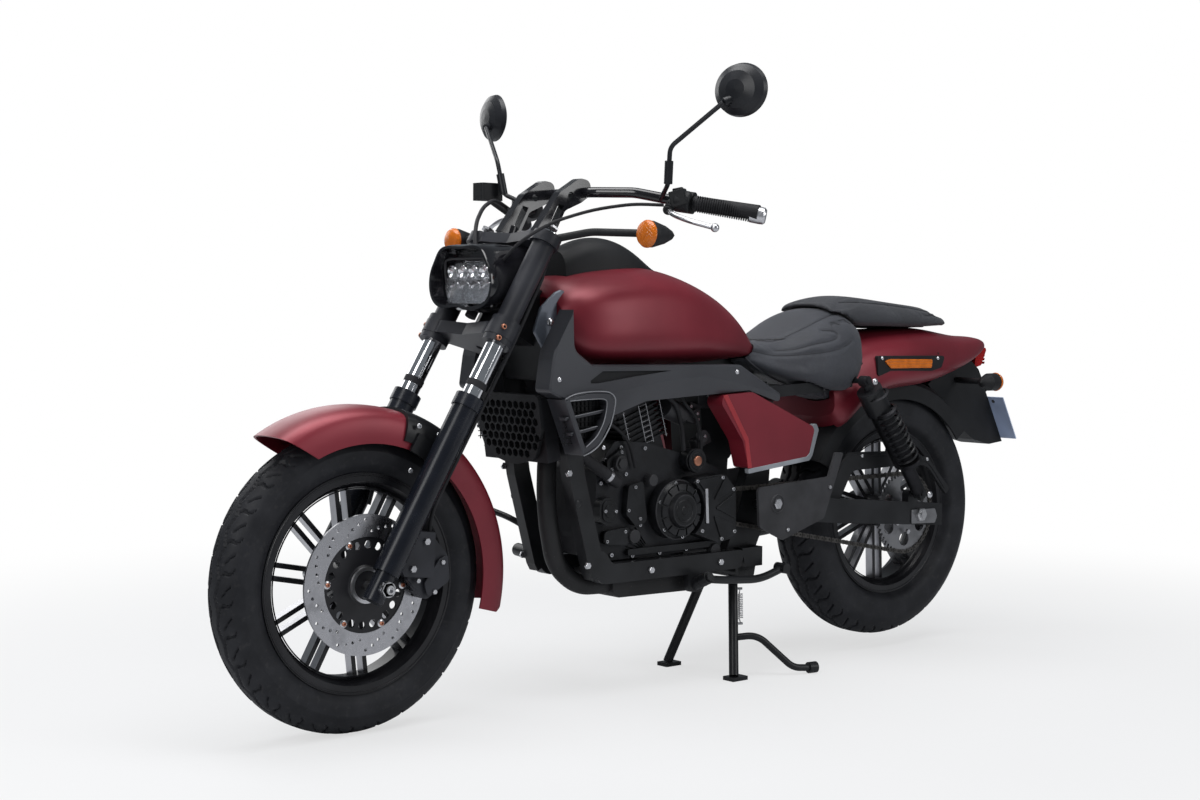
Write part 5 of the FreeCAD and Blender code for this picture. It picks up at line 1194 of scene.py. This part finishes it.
def engine_trim():
    """Smaller covers, a coolant hose, a bracket, wiring and the starter on the open side."""
    shapes = [slab([(862, 470, 8), (905, 462, 10), (912, 400, 12), (884, 372, 10), (850, 380, 14),
                    (858, 430, 8)], 79, 96, 2, 5),
              slab([(896, 372, 12), (972, 366, 12), (968, 338, 10), (902, 332, 10)], 79, 92, 2, 4),
              slab([(620, 322, 5), (900, 322, 5), (900, 308, 5), (620, 308, 5)], 79, 90, 1, 3),
              slab([(912, 548, 6), (962, 520, 8), (962, 462, 8), (922, 470, 10), (905, 520, 8)], 79, 90, 2, 4)]
    for index in range(7):
        shapes.append(slab([(868 + 5 * index, 366 - 8 * index), (872 + 5 * index, 368 - 8 * index),
                            (842 + 4 * index, 330 - 2 * index), (838 + 4 * index, 328 - 2 * index)], 79, 84))
    piece("crankcase_covers", "chassis", joined(shapes), "cover", slot="engine_black", bevel=1.5)
    rods = [rod(at(x, low, z), at(x, high, z), radius, sides) for x, z, low, high, radius, sides in
            ((930, 512, 80, 104, 17, 32), (930, 512, 100, 108, 12, 6), (886, 350, 80, 99, 15, 32),
             (834, 470, 80, 100, 13, 28), (640, 300, 80, 96, 15, 28))]
    piece("engine_caps", "chassis", joined(rods), "trim", slot="engine_black", bevel=1.2)
    runs = (([(1100, 70, 556), (1050, 92, 540), (985, 98, 500), (935, 96, 470)], 13, 18, 40),
            ([(1094, 60, 640), (1040, 82, 640), (980, 84, 626), (930, 72, 610)], 11, 18, 36),
            ([(890, 84, 640), (830, 94, 660), (770, 92, 640), (742, 86, 590), (734, 88, 530)], 5, 10, 44),
            ([(760, 74, 690), (736, 88, 640), (700, 92, 600), (684, 90, 548), (690, 92, 500)], 4, 10, 44),
            ([(1010, 88, 620), (960, 96, 600), (905, 92, 560), (880, 90, 500)], 3.5, 10, 40))
    hoses = [pipe([at(*p) for p in points], radius, sides, count) for points, radius, sides, count in runs]
    piece("engine_hoses", "chassis", joined(hoses), "grip", slot="grip_rubber")
    bands = [turned([(-4, hose + 0.4), (-4, hose + 1.4), (4, hose + 1.4), (4, hose + 0.4)], at(*spot), way, 32)
             for spot, way, hose in (((1066, 86, 545), (-50, 22, -18), 13), ((962, 97.6, 486), (-50, 4, -34), 13),
                                     ((1052, 80, 641), (-54, 16, 2), 11))]
    piece("hose_bands", "chassis", joined(bands), "spoke", slot="steel")
    body = [rod(at(716, 62, 608), at(772, 62, 628), 24, 32), block(at(700, 66, 612), (34, 36, 44), (0, -16, 0)),
            rod(at(700, 84, 612), at(700, 93, 612), 11, 24), block(at(664, 60, 640), (40, 40, 36)),
            rod(at(676, 80, 560), at(676, 92, 560), 15, 28), block(at(668, 70, 548), (46, 24, 22), (0, 20, 0))]
    piece("intake_body", "chassis", joined(body), "trim", slot="engine_black", bevel=1.6)
    spots = [(at(x, y, z), LEFT, 4, 4) for x, y, z in
             ((690, 84, 598), (712, 84, 628), (886, 96.5, 458), (872, 97, 388), (905, 96, 408), (910, 91, 362),
              (962, 91, 344), (950, 90.5, 500), (922, 90.5, 536), (654, 80.5, 650), (676, 92, 560), (700, 93, 612))]
    fasteners("engine_small_bolts", "chassis", "socket", spots)


def radiator_core():
    shapes = [block(at(1137.5, 0, 534 + 11 * row), (2.0, 196, 2.2)) for row in range(12)]
    piece("radiator_tubes", "chassis", joined(shapes), "radiator", slot="radiator_alloy")


engine_covers()
engine_bolts()
cylinder_edges()
engine_trim()
radiator_core()


# Rear
def shocks():
    """Coils, cups and nuts of the two rear shocks."""
    top, low = at(226, 188, 676), at(22, 188, 397)
    run = (low - top).normalized()
    length = (low - top).length * 1000

    def place(along):
        return top + run * along / 1000

    def choose(centre, normal):
        spot = Vector((centre.x, abs(centre.y), centre.z)) - top
        return 1 if 92 < spot.dot(run) * 1000 < length - 16 else 0

    tint("rear_shocks", ["frame", "radiator"], choose)
    coil = helix(place(92), place(length - 104), 25.5, 9, 18)
    piece("shock_coils", "chassis", both(pipe(coil, 3.3, 8)), "frame", slot="shock_black")
    cups = [turned([(0, 8), (0, 29), (5, 30.5), (10, 30), (12, 22), (12, 8)], place(length - 108), run, 40),
            turned([(0, 22), (3, 28.5), (7, 28.5), (9, 22)], place(84), run, 40),
            turned([(0, 22), (2, 28), (4, 22)], place(38), run, 40)]
    piece("shock_cups", "chassis", both(joined(cups)), "radiator", slot="shock_black")
    fasteners("shock_nuts", "chassis", "dome", outwards([(226, 199, 676, 8.5, 6), (22, 199, 397, 8.5, 6)]))


def swing_details():
    fasteners("pivot_bolts", "chassis", "hex",
              outwards([(503, 155, 402, 13, 5), (330, 155, 430, 5, 4), (470, 155, 340, 5, 4)]))
    caps = [ring_on(at(503, side * 155, 402), (0, side, 0), 20, 2.2) for side in BOTH_SIDES]
    piece("pivot_rings", "chassis", joined(caps), "trim", slot="black_plastic")
    fasteners("guard_bolts", "chassis", "dome", outwards([(180, 122, 494, 5, 3), (-60, 122, 474, 5, 3)], (1,)))
    ridge = bead([(286, 424), (238, 494), (140, 494), (56, 489), (-20, 474), (-66, 462), (-128, 398)], 122.4, 1.3)
    piece("guard_ridge", "chassis", ridge, "plastic", slot="black_plastic")
    fasteners("sprocket_bolts", "rear_wheel", "hex",
              [(around(REAR_HUB, 46, angle, 112), LEFT, 6.5, 5) for angle in range(30, 390, 60)])


def spring(first, last, radius, wire, turns):
    """A pulled coil spring with a straight hook at each end."""
    coil = helix(first.lerp(last, 0.14), first.lerp(last, 0.86), radius, turns, 12)
    return pipe([first, *coil, last], wire, 6)


def exhaust_details():
    end = turned([(0, 30), (0, 44), (6, 45), (8, 42), (8, 30)], at(119, -218, 367), (-0.97, 0, 0.24), 40)
    piece("silencer_tip", "chassis", end, "exhaust", slot="exhaust_black")


def plate_details():
    lean = math.radians(28)
    out = Vector((-math.cos(lean), 0, math.sin(lean)))
    fasteners("plate_screws", "chassis", "dome", [(at(-397, y, 605), out, 5, 3) for y in (-60, 60)])


shocks()
swing_details()
exhaust_details()
plate_details()


# Front end and controls
RAKE = math.radians(31)
FORK_UP = Vector((-math.sin(RAKE), 0, math.cos(RAKE)))
FORK_AHEAD = Vector((math.cos(RAKE), 0, math.sin(RAKE)))
GRIP_IN = at(899, 289, 1066)
GRIP_OUT = at(812, 393, 1041)


def leg_place(high, y, ahead=0):
    """A place on a fork leg's line at a height z, moved ahead of the line in millimetres."""
    run = (high - 302) / math.cos(RAKE)
    return at(1560 - run * math.sin(RAKE), y, high) + FORK_AHEAD * ahead / 1000


def fork_details():
    """Dust seals, clamp bolts, top caps and the caliper's bridge."""
    seal = [(0, 15), (0, 20.5), (5, 21.5), (14, 21.5), (18, 18), (18, 15)]
    shapes = [turned(seal, leg_place(684, y), FORK_UP, 40) for y in (110, -110)]
    piece("dust_seals", "steering", joined(shapes), "grip", slot="grip_rubber")
    fasteners("clamp_bolts", "steering", "socket",
              [(leg_place(high, side * 134, 18), Vector((0, side, 0)), 6, 5)
               for side in BOTH_SIDES for high in (778, 800)], "copper")
    fasteners("fork_top_caps", "steering", "hex",
              [(leg_place(1011, side * 110), FORK_UP, 15, 6) for side in BOTH_SIDES])
    fasteners("caliper_bolts", "steering", "hex", outwards(
        [(1448, 108, 384, 8, 8), (1481, 108, 332, 8, 8), (1402, 101, 338, 5.5, 4), (1422, 101, 280, 5.5, 4),
         (1462, 101, 306, 5.5, 4)], (1,)))
    body = [slab([(1388, 352, 6), (1384, 300, 12), (1438, 268, 14), (1446, 300, 8), (1410, 344, 8)], 97, 101),
            ring_on(at(1425, 97, 316), LEFT, 13, 2.0)]
    piece("caliper_bridge", "steering", joined(body), "yoke", slot="yoke_black", bevel=1.0)


def headlight():
    """A dark bowl with two rows of lamp cups, a divider and a lower light strip."""
    lean = (0, -12, 0)
    piece("headlight_bowl", "steering", block(at(1253, 0, 899), (3, 158, 90), lean), "polished", slot="chrome")
    cups = []
    eyes = []
    way = Vector((0.978, 0, -0.208))
    for z in (921, 890):
        for y in (-55.5, -18.5, 18.5, 55.5):
            centre = at(1253.5 + (z - 899) * 0.21, y, z)
            cups.append(turned([(0, 4), (2, 9), (7, 14.5), (8.6, 15.6), (7.6, 16.4), (0, 16)], centre, way, 28))
            eyes.append((centre + way * 0.001, way, 5.5, 4))
    piece("headlight_cups", "steering", joined(cups), "chrome", slot="chrome")
    fasteners("headlight_eyes", "steering", "dome", eyes, "glass")
    bars = [block(at(1260, 0, 905.5), (9, 152, 3), lean), block(at(1254, 0, 866), (6, 140, 7), lean)]
    piece("headlight_strip", "steering", joined(bars), "polished", slot="chrome", bevel=0.8)
    rim = ((1268, 0, 948), (1270, 60, 947), (1268, 78, 938), (1262, 82, 900), (1254, 76, 862), (1252, 55, 852),
           (1252, 0, 851))
    edge = smooth_line([at(*p) for p in rim], 40)
    loop = edge + [Vector((p.x, -p.y, p.z)) for p in edge[-2:0:-1]]
    piece("headlight_rim", "steering", pipe(loop + loop[:1], 2.2, 8), "trim", slot="gloss_black")


def controls():
    """Ribs and end weights of the grips, switch housings and their keys."""
    run = GRIP_OUT - GRIP_IN
    rings = [turned([(-1.1, 15), (-0.8, 17.4), (0.8, 17.4), (1.1, 15)],
                    GRIP_IN.lerp(GRIP_OUT, 0.05 + 0.88 * index / 25), run, 28) for index in range(26)]
    piece("grip_ribs", "steering", both(joined(rings)), "grip", slot="grip_rubber")
    ends = turned([(-17, 0), (-17, 17.8), (2, 18.2), (11, 17.6), (15, 14), (15, 0)], GRIP_OUT, run, 36, False)
    piece("bar_ends", "steering", both(ends), "alloy", slot="lever_alloy")
    shapes = [turned([(0, 0), (0, 21), (4, 23), (30, 23), (34, 20), (34, 0)], GRIP_IN - run * 0.30, run, 28, False),
              block(GRIP_IN - run * 0.16 + Vector((0.012, 0, 0.006)), (34, 26, 34), (0, 15, -58)),
              block(GRIP_IN - run * 0.22 + Vector((0.004, 0, 0.022)), (22, 12, 9), (0, 10, -58)),
              rod(at(934, 254, 1058), at(958, 272, 1049), 9, 20)]
    piece("switch_housings", "steering", both(joined(shapes)), "plastic", slot="black_plastic", bevel=2)
    keys = [block(GRIP_IN - run * share + Vector((-0.020, 0, rise)), (8, 9, 5), (0, 20, -58))
            for share, rise in ((0.24, 0.004), (0.16, 0.010), (0.20, -0.006))]
    piece("switch_keys", "steering", both(joined(keys)), "trim", slot="black_plastic", bevel=1)


def signal_lenses():
    """Amber domes of the four signals."""
    front = turned([(10, 25), (11, 28.2), (14, 28.2), (21, 24), (26, 14), (28, 0)], at(1052, 331, 997),
                   (1, 0, 0.02), 36, False)
    piece("front_signal_lenses", "steering", both(front), "amber", slot="amber_lens")
    rear = turned([(-22, 22), (-24, 23.4), (-30, 21), (-35, 13), (-37, 0)], at(-232, 176, 664), (1, 0, 0),
                  36, False)
    piece("rear_signal_lenses", "chassis", both(rear), "amber", slot="amber_lens")


def mirror_glass():
    shape = turned([(-12.2, 46), (-13.2, 45), (-13.6, 0)], Vector((0, 0, 0)), (1, 0, 0), 48, False)
    bmesh.ops.scale(shape, vec=(1, 1.12, 0.98), verts=shape.verts)
    bmesh.ops.rotate(shape, cent=(0, 0, 0), matrix=Matrix.Rotation(math.radians(12), 3, "Z"), verts=shape.verts)
    bmesh.ops.translate(shape, vec=at(892, 415, 1291), verts=shape.verts)
    piece("mirror_glass", "steering", both(shape), "mirror", slot="chrome")


def stand_spring():
    """The return spring behind the stand's left leg, held by a peg at each end."""
    hip, foot = at(535, 44, 234), at(595, 112, 10)
    out = Vector((-0.86, 0.51, 0)) * 0.0175
    ends = [hip + (foot - hip) * share + out for share in (0.16, 0.5)]
    pegs = [pipe([end - out, end + out * 0.25], 3, 10) for end in ends]
    shapes = [spring(*ends, 4.6, 1.4, 14)] + pegs
    piece("centre_stand_spring", "centre_stand", joined(shapes), "steel", slot="steel")


fork_details()
headlight()
signal_lenses()
mirror_glass()
stand_spring()
controls()


# Floor, lights and camera
def stage():
    """A pale floor that runs out to white, under a dim sky that the camera sees as white."""
    floor = bpy.data.meshes.new("studio_floor")
    floor.from_pydata([(-14, -14, 0), (14, -14, 0), (14, 14, 0), (-14, 14, 0)], [], [(0, 1, 2, 3)])
    linked("studio_floor", floor)
    shade = Shade("pale_floor", Roughness=0.7, Specular_IOR_Level=0.1)
    shade.surface.inputs["Base Color"].default_value = (0.60, 0.61, 0.63, 1)
    x, y, _ = shade.split(shade.spot)
    out = (x * x + y * y) ** 0.5
    seen = shade.node("ShaderNodeLightPath")
    white = shade.node("ShaderNodeEmission")
    share = seen * (out.step(1.0, 3.0) * 0.36 + 0.64)
    mixed = shade.node("ShaderNodeMixShader", {}, [share, Link(shade, shade.surface.outputs[0]), white])
    shade.links.new(mixed.socket, shade.nodes["Material Output"].inputs[0])
    floor.materials.append(shade.material)
    world = bpy.data.worlds.new("studio_air")
    bpy.context.scene.world = world
    world.use_nodes = True
    nodes, links = world.node_tree.nodes, world.node_tree.links
    air = nodes["Background"]
    air.inputs["Color"].default_value = (0.84, 0.92, 1.0, 1)
    air.inputs["Strength"].default_value = 0.17
    white = nodes.new("ShaderNodeBackground")
    white.inputs["Color"].default_value = (1, 1, 1, 1)
    seen = nodes.new("ShaderNodeLightPath")
    mixed = nodes.new("ShaderNodeMixShader")
    links.new(seen.outputs["Is Camera Ray"], mixed.inputs[0])
    links.new(air.outputs[0], mixed.inputs[1])
    links.new(white.outputs[0], mixed.inputs[2])
    links.new(mixed.outputs[0], nodes["World Output"].inputs[0])


def softbox(name, place, aim, wide, tall, watts):
    """A soft lamp at a place, aimed at a point."""
    light = bpy.data.lights.new(name, "AREA")
    light.shape = "RECTANGLE"
    light.size = wide
    light.size_y = tall
    light.energy = watts
    lamp = linked(name, light)
    lamp.location = place
    lamp.rotation_euler = (Vector(aim) - Vector(place)).to_track_quat("-Z", "Y").to_euler()


stage()
softbox("overhead", (0.4, 0.2, 3.6), (0, 0, 0.5), 4.2, 1.8, 130)
softbox("front_left", (3.4, 1.0, 2.2), (0.2, 0, 0.6), 1.2, 2.4, 45)
softbox("left_rear", (-1.8, 3.6, 2.0), (-0.2, 0, 0.5), 1.6, 2.0, 40)
softbox("far_side", (0.0, -3.6, 2.2), (0, 0, 0.6), 3.0, 2.0, 40)

# The camera that was fitted to the photograph, in radians and pixels
YAW, DOWN, ROLL = -2.2746, 0.0523, 0.0061
FOCAL_PIXELS, PHOTO_WIDTH = 1895.45, 1200
camera = bpy.data.cameras.new("camera")
camera.sensor_width = 36
camera.lens = camera.sensor_width * FOCAL_PIXELS / PHOTO_WIDTH
eye = linked("camera", camera)
look = Vector((math.cos(YAW) * math.cos(DOWN), math.sin(YAW) * math.cos(DOWN), -math.sin(DOWN)))
level = Vector((math.sin(YAW), -math.cos(YAW), 0))
upward = level.cross(look)
right = math.cos(ROLL) * level + math.sin(ROLL) * upward
upward = right.cross(look)
eye.matrix_world = Matrix.Translation(SEEN_FROM) @ Matrix((right, upward, -look)).transposed().to_4x4()
bpy.context.scene.camera = eye
bpy.context.scene.view_settings.view_transform = "Standard"
